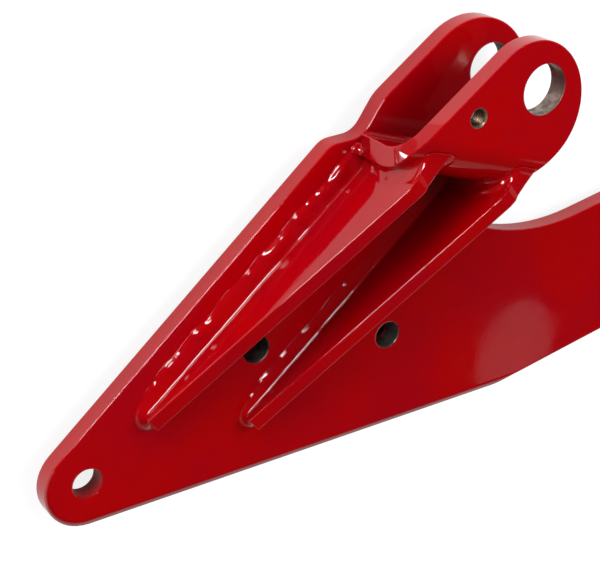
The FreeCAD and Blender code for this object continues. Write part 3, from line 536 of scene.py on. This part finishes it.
def bare_metal(name, colour, stain, roughness):
    material, tree, shader = new_material(name)
    metal = place(tree, shared_group("Machined Steel", machined_group), Steel=(*colour, 1.0),
                  Stain=(*stain, 1.0), Roughness=roughness, Ring_Pitch=0.0011)
    feed(tree, shader, Metallic=1.0, Base_Color=metal.outputs["Color"],
         Roughness=metal.outputs["Roughness"], Normal=metal.outputs["Normal"])
    return material


def dress(node, material):
    """Gives a CAD node its material."""
    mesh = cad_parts[node].data
    mesh.materials.clear()
    mesh.materials.append(material)


def piece_from(name, mesh, material):
    piece = bpy.data.objects.new(name, mesh)
    bpy.context.scene.collection.objects.link(piece)
    mesh.materials.append(material)
    for polygon in mesh.polygons:
        polygon.use_smooth = True
    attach(piece, "root")
    return piece


def shared_material(name, maker, *arguments, **options):
    return bpy.data.materials.get(name) or maker(name, *arguments, **options)


def weld_paint():
    return shared_material("Enamel On Welds", enamel)


# Weld runs

# Places where the runs along the gussets have swelled: distance from the toe, share of the
# width, length and height.
GUSSET_SWELLS = {
    "upper": ((0.0175, 0.80, 0.0020, 0.00062), (0.0325, 0.72, 0.0044, 0.00100),
              (0.0395, 0.82, 0.0015, 0.00052), (0.0570, 0.72, 0.0042, 0.00105),
              (0.0650, 0.68, 0.0032, 0.00092), (0.0995, 0.84, 0.0018, 0.00056),
              (0.1195, 0.64, 0.0070, 0.00135), (0.1290, 0.72, 0.0026, 0.00075),
              (0.1410, 0.80, 0.0024, 0.00070), (0.1520, 0.82, 0.0017, 0.00055),
              (0.1620, 0.72, 0.0040, 0.00095), (0.1760, 0.66, 0.0058, 0.00120)),
    "lower": ((-0.0050, 0.70, 0.0040, 0.00050), (0.0110, 0.80, 0.0017, 0.00042),
              (0.0205, 0.74, 0.0042, 0.00078), (0.0290, 0.72, 0.0034, 0.00068),
              (0.0430, 0.72, 0.0032, 0.00066), (0.0640, 0.72, 0.0044, 0.00078),
              (0.0990, 0.72, 0.0022, 0.00048)),
}

# Section of a run: shares of its width on the first wall and of its height on the second, from
# one toe to the other. It is an even slope with a rounded shoulder at the first wall, and enamel
# has filled the hollow corner at the second. The other section is hollow all the way.
SECTION = ((1.055, -0.015), (1.0, 0.010), (0.95, 0.050), (0.90, 0.125), (0.85, 0.215),
           (0.795, 0.285), (0.727, 0.345), (0.636, 0.415), (0.527, 0.495), (0.41, 0.578),
           (0.30, 0.656), (0.21, 0.722), (0.146, 0.774), (0.10, 0.822), (0.064, 0.882),
           (0.034, 0.962), (0.012, 1.07), (-0.006, 1.20))
HOLLOW_SECTION = ((1.05, -0.012), (1.0, 0.005), (0.90, 0.036), (0.78, 0.090), (0.66, 0.158),
                  (0.54, 0.236), (0.43, 0.320), (0.33, 0.410), (0.24, 0.508), (0.165, 0.612),
                  (0.10, 0.722), (0.05, 0.842), (0.015, 0.97), (-0.006, 1.08))

# Lengths over which a run changes its height and its width and forms large and small lumps,
# the shares by which it does so, and how deep its root lies in the corner.
HEIGHT_WAVE, WIDTH_WAVE, LUMP_WAVE, SMALL_WAVE = 0.026, 0.015, 0.011, 0.0046
WAVE_SHARE = 0.16
ROOT_SINK = 0.0004


def close_rings(mesh, rings, name, material, flip=False):
    """Joins rings of vertices into a closed tube and makes a piece of it."""
    count = len(rings[0])
    for near, far in zip(rings, rings[1:]):
        for index in range(count):
            following = (index + 1) % count
            corners = (near[index], near[following], far[following], far[index])
            mesh.faces.new((corners[0], *corners[:0:-1]) if flip else corners)
    mesh.faces.new(rings[0])
    mesh.faces.new(reversed(rings[-1]))
    bmesh.ops.recalc_face_normals(mesh, faces=mesh.faces)
    data = bpy.data.meshes.new(name)
    mesh.to_mesh(data)
    mesh.free()
    return piece_from(name, data, material)


def weld_run(name, stations, seed, replaced, width, height, swells=(), ends=(True, True),
             section=SECTION):
    """A weld run as one closed mesh.

    A station is (root point, first wall direction, second wall direction, distance run). A swell
    is (distance run, share of the width, length, height). An end is rounded off where it is True.
    """
    welds = settings().welds
    mesh = bmesh.new()
    total = stations[-1][3]
    melt = 0.45 if section is SECTION else 0.15
    rings = []
    for root, first, second, run in stations:
        end_share = 1.0
        for wanted, distance in zip(ends, (run, total - run)):
            if wanted:
                roundness = max(0.0, min(1.0, (distance + 0.0006) / width))
                end_share = min(end_share, math.sqrt(roundness))
        slow = noise.noise(Vector((run / HEIGHT_WAVE, seed, 0.0)))
        other = noise.noise(Vector((run / WIDTH_WAVE, seed, 2.0)))
        wide = width * (1 + WAVE_SHARE * other) * end_share
        high = height * (1 + WAVE_SHARE * slow) * end_share
        outward = (first + second).normalized()
        ring = [mesh.verts.new(root - outward * ROOT_SINK)]
        for share_a, share_b in section:
            across = 1 - min(max(share_a, 0.0), 1.0)
            window = math.sin(math.pi * across) ** 0.8 if 0 < across < 1 else 0.0
            calm = min(1.0, share_a / 0.45) ** 2
            phase = run / welds.ripple_pitch + 0.9 * (2 * across - 1) ** 2 + 1.5 * slow
            lump = noise.noise(Vector((run / LUMP_WAVE, across * 0.9, seed + 3.0)))
            lump += 0.5 * noise.noise(Vector((run / SMALL_WAVE, across * 1.5, seed + 9.0)))
            lift = welds.ripple_depth * math.sin(math.tau * phase) + welds.unevenness * lump * calm
            lift *= window
            swollen = 0.0
            for where, side, length, rise in swells:
                fade = 0.13 + 14 * length if share_a > side else melt
                swollen += rise * math.exp(-((run - where) / length) ** 4
                                           - ((share_a - side) / fade) ** 2)
            lift += min(1.0, 2.5 * window) * swollen
            point = root + first * (share_a * wide) + second * (share_b * high)
            ring.append(mesh.verts.new(point + outward * (lift * end_share)))
        rings.append(ring)
    piece = close_rings(mesh, rings, name, weld_paint())
    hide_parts(*replaced)


def walk(points, step=0.0007):
    """Even stations along a polyline of (point, first wall, second wall).

    The lengths of the two directions scale the run's width and height there.
    """
    stations, run = [], 0.0
    for (a, first_a, second_a), (b, first_b, second_b) in zip(points, points[1:]):
        length = (b - a).length
        turn = max(first_a.angle(first_b), second_a.angle(second_b)) if length < 1e-6 else 0.0
        steps = max(1, round(length / step)) if length > 1e-6 else max(2, round(turn / 0.12))
        travel = length if length > 1e-6 else turn * 0.004
        for index in range(steps):
            share = index / steps
            first = first_a.lerp(first_b, share).normalized()
            first *= first_a.length * (1 - share) + first_b.length * share
            second = second_a.lerp(second_b, share).normalized()
            second *= second_a.length * (1 - share) + second_b.length * share
            stations.append((a.lerp(b, share), first, second, run + travel * share))
        run += travel
    b, first, second = points[-1]
    stations.append((b, first, second, run))
    return stations


def reach_of_web(point, direction):
    """How far a point on the plate has to go to meet the web's outer face."""
    return (WEB_OUTER - point.dot(BEND_OUT)) / direction.dot(BEND_OUT)


def gusset_run(row, outer_stop, inner_stop):
    """Stations up one side of a gusset, round its toe and back along the other side."""
    toe = GUSSET_TOES[row]
    left, right = toe + GUSSET_ACROSS * GUSSET_HALF, toe - GUSSET_ACROSS * GUSSET_HALF
    points = [
        (left + GUSSET_DIRECTION * outer_stop, GUSSET_ACROSS, UP),
        (left + GUSSET_DIRECTION * 0.022, GUSSET_ACROSS, UP),
        (left + GUSSET_DIRECTION * 0.010, GUSSET_ACROSS * 0.72, UP),
    ]
    middle = toe + GUSSET_DIRECTION * GUSSET_HALF
    for step in range(TOE_STEPS + 1):
        angle = math.pi * step / TOE_STEPS
        away = GUSSET_ACROSS * math.cos(angle) - GUSSET_DIRECTION * math.sin(angle)
        points.append((middle + away * GUSSET_HALF,
                       away * (0.50 + (TOE_SHARE[0] - 0.50) * math.sin(angle)),
                       UP * (1.0 + (TOE_SHARE[1] - 1.0) * math.sin(angle))))
    points.append((right + GUSSET_DIRECTION * inner_stop, -GUSSET_ACROSS * 0.7, UP))
    return walk(points)


def strap_joint(row, last_level):
    """Stations up one side of a gusset's end along the strap, over its top and down again."""
    axis_out, axis_up = WEB_OUTER + BEND_RADIUS, EAR_FRONT - BEND_RADIUS
    slope = [(WEB_OUTER, PLATE_FRONT + (axis_up - PLATE_FRONT) * step / 10, 0.0)
             for step in range(10)]
    for step in range(15):
        angle = JOINT_TOP * step / 14
        slope.append((axis_out - BEND_RADIUS * math.cos(angle),
                      axis_up + BEND_RADIUS * math.sin(angle), angle))
    sides = {}
    for side in (1, -1):
        face = GUSSET_TOES[row] + GUSSET_ACROSS * (side * GUSSET_HALF)
        sides[side] = []
        for out, level, angle in slope:
            distance = (out - face.dot(BEND_OUT)) / GUSSET_DIRECTION.dot(BEND_OUT)
            root = face + GUSSET_DIRECTION * distance
            root.z = level
            normal = -BEND_OUT * math.cos(angle) + UP * math.sin(angle)
            away = GUSSET_ACROSS * side
            away = (away - normal * away.dot(normal)).normalized()
            wider = 1 + 0.55 * max(0.0, root.z / EAR_FRONT)
            sides[side].append((root, -GUSSET_DIRECTION * wider, away))
    climb = (BEND_OUT * math.sin(JOINT_TOP) + UP * math.cos(JOINT_TOP)) * 1.25
    back = (-GUSSET_DIRECTION + UP * 0.22).normalized() * 1.6
    top = [(sides[1][-1][0], back, climb), (sides[-1][-1][0], back, climb)]
    down = [item for item in reversed(sides[-1]) if item[0].z >= last_level]
    return walk(sides[1] + top + down, 0.0009)


# Operators

# The lamps hang round this point. A fill has a direction, a width and a share of the power.
LAMP_AIM = Vector((-0.12, -0.05, 0.0))
FILL_DISTANCE = 2.4
FILLS = {
    "Right Fill": ((0.68, 0.06, 0.73), 1.0, 0.34),
    "Front Right Fill": ((0.67, 0.67, 0.33), 0.9, 0.18),
    "Front Fill": ((0.0, 0.95, 0.31), 0.9, 0.29),
    "Front Left Fill": ((-0.67, 0.67, 0.33), 0.9, 0.19),
}
# Direction, distance, width, height, shape and long side of the lamps that only show in the
# enamel.
STRIP = ((-0.13, 0.80, 0.585), 1.3, 0.42, 0.30, "RECTANGLE", (1, 0, 0))
CARD = ((0.2725, -0.9575, 0.760), 1.591, 0.178, 0.104, "ELLIPSE", (0.915, 0.400, 0.057))
FLOOR_REACH = 4.0
FLOOR_GAP = 0.0002


class TOPLINK_OT_camera(bpy.types.Operator):
    """Places the camera at the viewing angle of the picture"""
    bl_idname = "toplink.camera"
    bl_label = "Camera"

    def execute(self, context):
        studio = settings().studio
        data = bpy.data.cameras.new("Camera")
        data.sensor_width = 36.0
        data.lens = studio.lens
        data.clip_start, data.clip_end = 0.02, 20.0
        camera = bpy.data.objects.new("Camera", data)
        camera.rotation_mode = "QUATERNION"
        camera.rotation_quaternion = Quaternion(studio.camera_turn)
        camera.location = studio.camera_place
        context.scene.collection.objects.link(camera)
        context.scene.camera = camera
        context.scene.view_settings.view_transform = "Standard"
        return {"FINISHED"}


class TOPLINK_OT_stage(bpy.types.Operator):
    """Builds the plain floor, the softboxes and the even light from all round"""
    bl_idname = "toplink.stage"
    bl_label = "Stage"

    def execute(self, context):
        studio = settings().studio
        self.lay_floor(context, studio)
        self.light_world(context, studio)
        for name, (direction, width, share) in FILLS.items():
            lamp = self.hang_lamp(context, name, studio.fill_power * share, direction,
                                  FILL_DISTANCE, width, width, "SQUARE", (1, 0, 0))
            lamp.visible_glossy = False
        for name, power, measures in (("Strip Softbox", studio.key_power, STRIP),
                                      ("Dim Card", studio.card_power, CARD)):
            self.hang_lamp(context, name, power, *measures).visible_diffuse = False
        return {"FINISHED"}

    def seen_directly(self, tree, path):
        return calc(tree, "MAXIMUM", path.outputs["Is Camera Ray"],
                    path.outputs["Is Transmission Ray"])

    def lay_floor(self, context, studio):
        level, reach = CAD_BOX[0].z - FLOOR_GAP, FLOOR_REACH
        mesh = bpy.data.meshes.new("Floor")
        mesh.from_pydata([(-reach, -reach, level), (reach, -reach, level), (reach, reach, level),
                          (-reach, reach, level)], [], [(0, 1, 2, 3)])
        floor = bpy.data.objects.new("Floor", mesh)
        context.scene.collection.objects.link(floor)
        material, tree, shader = new_material("Pale Floor")
        feed(tree, shader, Base_Color=(*studio.floor_colour, 1.0), Roughness=0.9,
             Specular_IOR_Level=0.0)
        shade = feed(tree, tree.nodes.new("ShaderNodeBsdfDiffuse"), Color=(0.30, 0.30, 0.30, 1.0))
        path = tree.nodes.new("ShaderNodeLightPath")
        # Painted shadow: ambient occlusion dims the floor's glow near the part; to the camera it
        # stays at 0.8 or more, and in reflections it falls all the way.
        near = tree.nodes.new("ShaderNodeAmbientOcclusion")
        near.samples = 8
        feed(tree, near, Distance=0.16)
        painted_floor_shadow = times(tree, calc(tree, "POWER", near.outputs["AO"], 1.6), 1.05)
        direct = self.seen_directly(tree, path)
        level_seen = calc(tree, "MAXIMUM", times(tree, direct, 0.80), painted_floor_shadow)
        glow = feed(tree, tree.nodes.new("ShaderNodeEmission"), Strength=level_seen)
        seen = put_all(tree, tree.nodes.new("ShaderNodeAddShader"), (shade, glow))
        shown = calc(tree, "MAXIMUM", direct, path.outputs["Is Glossy Ray"])
        mixing = put_all(tree, tree.nodes.new("ShaderNodeMixShader"), (shown, shader, seen))
        feed(tree, tree.nodes["Material Output"], Surface=mixing)
        mesh.materials.append(material)

    def light_world(self, context, studio):
        """White to the camera and low down in reflections, dim overhead and for lighting."""
        world = bpy.data.worlds.new("Studio")
        context.scene.world = world
        world.use_nodes = True
        tree = world.node_tree
        point = tree.nodes.new("ShaderNodeTexCoord").outputs["Generated"]
        level = reach_along(tree, point, UP)
        height = calc(tree, "ADD", spread(tree, level, 0.31, 0.38, 0.28, 0.03),
                      spread(tree, level, 0.0, 0.10, 0.72, 0.0))
        path = tree.nodes.new("ShaderNodeLightPath")
        glossy = path.outputs["Is Glossy Ray"]
        seen = self.seen_directly(tree, path)
        shown = calc(tree, "MAXIMUM", times(tree, height, glossy), seen)
        other = calc(tree, "SUBTRACT", 1.0, calc(tree, "MAXIMUM", seen, glossy))
        feed(tree, tree.nodes["Background"], Color=(1, 1, 1, 1),
             Strength=calc(tree, "MULTIPLY_ADD", other, studio.ambient, shown))

    def hang_lamp(self, context, name, power, direction, distance, width, height, shape, side):
        data = bpy.data.lights.new(name, "AREA")
        data.shape = shape
        data.size = width
        data.size_y = height
        data.energy = power
        lamp = bpy.data.objects.new(name, data)
        toward = Vector(direction).normalized()
        along = Vector(side)
        along = (along - toward * along.dot(toward)).normalized()
        turn = Matrix((along, toward.cross(along), toward)).transposed()
        lamp.location = LAMP_AIM + toward * distance
        lamp.rotation_mode = "QUATERNION"
        lamp.rotation_quaternion = turn.to_quaternion()
        lamp.visible_camera = False
        context.scene.collection.objects.link(lamp)
        return lamp


class TOPLINK_OT_plate(bpy.types.Operator):
    """Paints the main plate and leaves the pin bores bare"""
    bl_idname = "toplink.plate"
    bl_label = "Main Plate"

    def execute(self, context):
        steel = settings().steel
        bores = ((0.0, 0.0, PIN_RADIUS, steel.colour), (*ARM_CENTER, PIN_RADIUS, steel.colour),
                 *((*center, BOLT_RADIUS, steel.black_colour) for center in NUT_CENTERS.values()))
        shapers = (("Flame Cut Edge", cut_edge_group), ("Soft Rim", soft_rim_group))
        dress("main_plate", enamel("Enamel On Plate", bores, 1.9, shapers))
        return {"FINISHED"}


class TOPLINK_OT_strap(bpy.types.Operator):
    """Paints the bent strap and leaves its bore and its thread bare"""
    bl_idname = "toplink.strap"
    bl_label = "Front Ear"

    def execute(self, context):
        steel = settings().steel
        bores = ((0.0, 0.0, PIN_RADIUS, steel.colour),
                 (*LOCK_CENTER, LOCK_RADIUS + LOCK_CHAMFER, steel.rim_colour))
        shapers = (("Ground Corner", ground_corner_group),)
        dress("front_ear", enamel("Enamel On Strap", bores, 1.0, shapers))
        return {"FINISHED"}


class TOPLINK_OT_gussets(bpy.types.Operator):
    """Paints the two gussets"""
    bl_idname = "toplink.gussets"
    bl_label = "Gussets"

    def execute(self, context):
        material = enamel("Enamel On Gussets", rounding=1.0)
        dress("upper_gusset", material)
        dress("lower_gusset", material)
        return {"FINISHED"}


class TOPLINK_OT_gusset_welds(bpy.types.Operator):
    """Lays the weld runs along the gussets and round their toes"""
    bl_idname = "toplink.gusset_welds"
    bl_label = "Gusset Welds"

    def execute(self, context):
        welds = settings().welds
        for row, seed, share, rise in (("upper", 2.7, 1.0, 1.0), ("lower", 31.4, 0.74, 0.78)):
            stops = {}
            for side in (1, -1):
                face = GUSSET_TOES[row] + GUSSET_ACROSS * (side * GUSSET_HALF)
                stops[side] = reach_of_web(face, GUSSET_DIRECTION) + (0.0015 if side > 0 else 0.006)
            if row == "lower":
                stops[-1] = LOWER_INNER_RUN
            swells = [(stops[1] - along, side, length, rise)
                      for along, side, length, rise in GUSSET_SWELLS[row]]
            names = ["%s_gusset_%s_weld" % (row, part) for part in ("outer", "inner", "toe")]
            weld_run(row + "_gusset_run", gusset_run(row, stops[1], stops[-1]), seed, names,
                     welds.width * share, welds.height * rise, swells, (False, row == "lower"))
        return {"FINISHED"}


class TOPLINK_OT_strap_welds(bpy.types.Operator):
    """Lays the weld runs at the foot of the strap and up its corners with the gussets"""
    bl_idname = "toplink.strap_welds"
    bl_label = "Strap Welds"

    def execute(self, context):
        welds = settings().welds
        self.foot("ear_foot_outer_run", "ear_foot_outer_weld", WEB_OUTER, -1,
                  welds.height * 1.3, 11.0, self.corner("upper", -1), self.corner("lower", 1),
                  (False, False))
        inner_leg = welds.height * 0.5
        last = (-WEB_LOW_EDGE + WEB_INNER * math.cos(BEND_LINE_ANGLE)) / math.sin(BEND_LINE_ANGLE)
        self.foot("ear_foot_inner_run", "ear_foot_inner_weld", WEB_INNER, 1, inner_leg, 17.0,
                  WEB_END + inner_leg, last - inner_leg, (True, True), HOLLOW_SECTION)
        first = BEND_OUT * WEB_OUTER + BEND_ALONG * WEB_END + UP * PLATE_FRONT
        across = first + BEND_OUT * 0.0065
        stations = walk([(first, -BEND_ALONG, UP), (across, -BEND_ALONG, UP)])
        weld_run("ear_end_run", stations, 23.0, ["ear_end_weld"], 0.0045, 0.0045,
                 ends=(False, True))
        for row, level, seed, parts, swells in (
                ("upper", PLATE_FRONT, 41.0, ("upper_gusset_ear_outer_weld",
                                              "upper_gusset_ear_inner_weld"),
                 ((0.018, 0.5, 0.005, 0.0011), (0.031, 0.6, 0.003, 0.0007))),
                ("lower", 1.0, 53.0, ("lower_gusset_ear_weld",),
                 ((0.036, 0.50, 0.0052, 0.0024), (0.043, 0.4, 0.002, 0.0009)))):
            weld_run(row + "_gusset_ear_run", strap_joint(row, level), seed, parts,
                     JOINT_WIDTH, JOINT_HEIGHT, swells, (False, False), HOLLOW_SECTION)
        return {"FINISHED"}

    def corner(self, row, side):
        face = GUSSET_TOES[row] + GUSSET_ACROSS * (side * GUSSET_HALF)
        point = face + GUSSET_DIRECTION * reach_of_web(face, GUSSET_DIRECTION)
        return point.dot(BEND_ALONG)

    def foot(self, name, node, face, side, leg, seed, first, last, ends, section=SECTION):
        start, stop = sorted((first, last))
        root = BEND_OUT * face + UP * PLATE_FRONT
        points = [(root + BEND_ALONG * where, BEND_OUT * side, UP) for where in (start, stop)]
        weld_run(name, walk(points), seed, [node], leg, leg, ends=ends, section=section)


class TOPLINK_OT_nuts(bpy.types.Operator):
    """Paints the weld nuts and the weld round each of them"""
    bl_idname = "toplink.nuts"
    bl_label = "Weld Nuts"

    def execute(self, context):
        steel = settings().steel
        for letter, center in NUT_CENTERS.items():
            bores = ((*center, NUT_RADIUS, steel.nut_colour),)
            dress("weld_nut_" + letter, enamel("Enamel On Nut " + letter.upper(), bores, 1.0))
            dress("weld_nut_%s_weld" % letter, weld_paint())
        return {"FINISHED"}


class TOPLINK_OT_threads(bpy.types.Operator):
    """Cuts the turns of thread in the ear and in the weld nuts"""
    bl_idname = "toplink.threads"
    bl_label = "Threads"

    def execute(self, context):
        steel, threads = settings().steel, settings().threads
        bright = bare_metal("Cut Thread Steel", steel.thread_colour, steel.stain, 0.32)
        dark = bare_metal("Blackened Nut Steel", steel.nut_colour, (0.02, 0.02, 0.018), 0.38)
        self.turns("lock_thread_turns", LOCK_CENTER, LOCK_RADIUS, threads.lock_pitch, threads.depth,
                   EAR_BACK, EAR_FRONT - LOCK_CHAMFER, bright)
        for letter, center in NUT_CENTERS.items():
            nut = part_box("weld_nut_" + letter)
            self.turns("nut_%s_thread_turns" % letter, center, NUT_RADIUS, threads.nut_pitch,
                       threads.depth * 1.15, nut[0].z + 0.0004, nut[1].z - 0.0004, dark)
        return {"FINISHED"}

    def turns(self, name, center, radius, pitch, depth, low, high, material):
        """A helical ridge that stands in from the wall of a bore."""
        steps = 40
        last = int((high - low - pitch) / pitch * steps)
        mesh = bmesh.new()
        rings = []
        for index in range(last + 1):
            angle = math.tau * index / steps
            fade = min(1.0, index / 8, (last - index) / 8)
            level = low + pitch / 2 + pitch * index / steps
            ring = []
            for inward, offset in ((-0.00008, -0.46), (1.0, -0.08), (1.0, 0.08), (-0.00008, 0.46)):
                stand = depth * fade if inward > 0 else inward
                reach = radius - stand
                ring.append(mesh.verts.new((center[0] + reach * math.cos(angle),
                                            center[1] + reach * math.sin(angle),
                                            level + pitch * offset)))
            rings.append(ring)
        piece = close_rings(mesh, rings, name, material, flip=True)
        for polygon in piece.data.polygons:
            polygon.use_smooth = False


class TOPLINK_OT_spatter(bpy.types.Operator):
    """Adds the few beads of weld spatter that the enamel has covered"""
    bl_idname = "toplink.spatter"
    bl_label = "Weld Spatter"

    # Place on the plate in metres and radius in millimetres.
    DROPS = ((-0.1180, 0.0180, 0.55), (-0.1260, 0.0205, 0.40), (-0.1395, 0.0170, 0.45),
             (-0.1610, 0.0235, 0.38), (-0.1870, 0.0190, 0.50), (-0.2120, 0.0165, 0.42),
             (-0.2430, 0.0170, 0.36), (-0.2710, 0.0155, 0.45), (-0.0905, -0.0060, 0.60),
             (-0.0960, -0.0105, 0.42), (-0.0870, -0.0120, 0.50), (-0.1030, -0.0190, 0.38),
             (-0.1340, -0.0330, 0.45), (-0.1720, -0.0400, 0.36), (-0.2010, -0.0430, 0.42))

    def execute(self, context):
        mesh = bmesh.new()
        for index, (x, y, radius) in enumerate(self.DROPS):
            matrix = (Matrix.Translation((x, y, PLATE_FRONT))
                      @ Matrix.Diagonal((1, 1, 0.6 + 0.03 * (index % 4), 1)))
            bmesh.ops.create_uvsphere(mesh, u_segments=10, v_segments=6, radius=radius * 0.001,
                                      matrix=matrix)
        data = bpy.data.meshes.new("weld_spatter")
        mesh.to_mesh(data)
        mesh.free()
        piece_from("weld_spatter", data, weld_paint())
        return {"FINISHED"}


class TOPLINK_PT_panel(bpy.types.Panel):
    bl_idname = "TOPLINK_PT_panel"
    bl_label = "Top Link"
    bl_space_type = "VIEW_3D"
    bl_region_type = "UI"
    bl_category = "Top Link"

    def draw(self, context):
        layout = self.layout
        chosen = settings()
        for group in (chosen.paint, chosen.steel, chosen.welds, chosen.threads, chosen.studio):
            box = layout.box()
            for name in group.__annotations__:
                box.prop(group, name)
        for operator in OPERATORS:
            layout.operator(operator.bl_idname)


OPERATORS = (
    TOPLINK_OT_camera, TOPLINK_OT_stage, TOPLINK_OT_plate, TOPLINK_OT_strap, TOPLINK_OT_gussets,
    TOPLINK_OT_gusset_welds, TOPLINK_OT_strap_welds, TOPLINK_OT_nuts, TOPLINK_OT_threads,
    TOPLINK_OT_spatter,
)
CLASSES = (TopLinkPaint, TopLinkSteel, TopLinkWelds, TopLinkThreads, TopLinkStudio, TopLinkSettings,
           *OPERATORS, TOPLINK_PT_panel)


def register():
    for item in CLASSES:
        bpy.utils.register_class(item)
    bpy.types.Scene.top_link = PointerProperty(type=TopLinkSettings, name="Top Link",
                                               description="Sizes and colours of the top link")


def unregister():
    del bpy.types.Scene.top_link
    for item in reversed(CLASSES):
        bpy.utils.unregister_class(item)


def main():
    register()
    for operator in OPERATORS:
        getattr(bpy.ops.toplink, operator.bl_idname.split(".")[1])()
    bpy.context.view_layer.update()


if __name__ == "__main__":
    main()
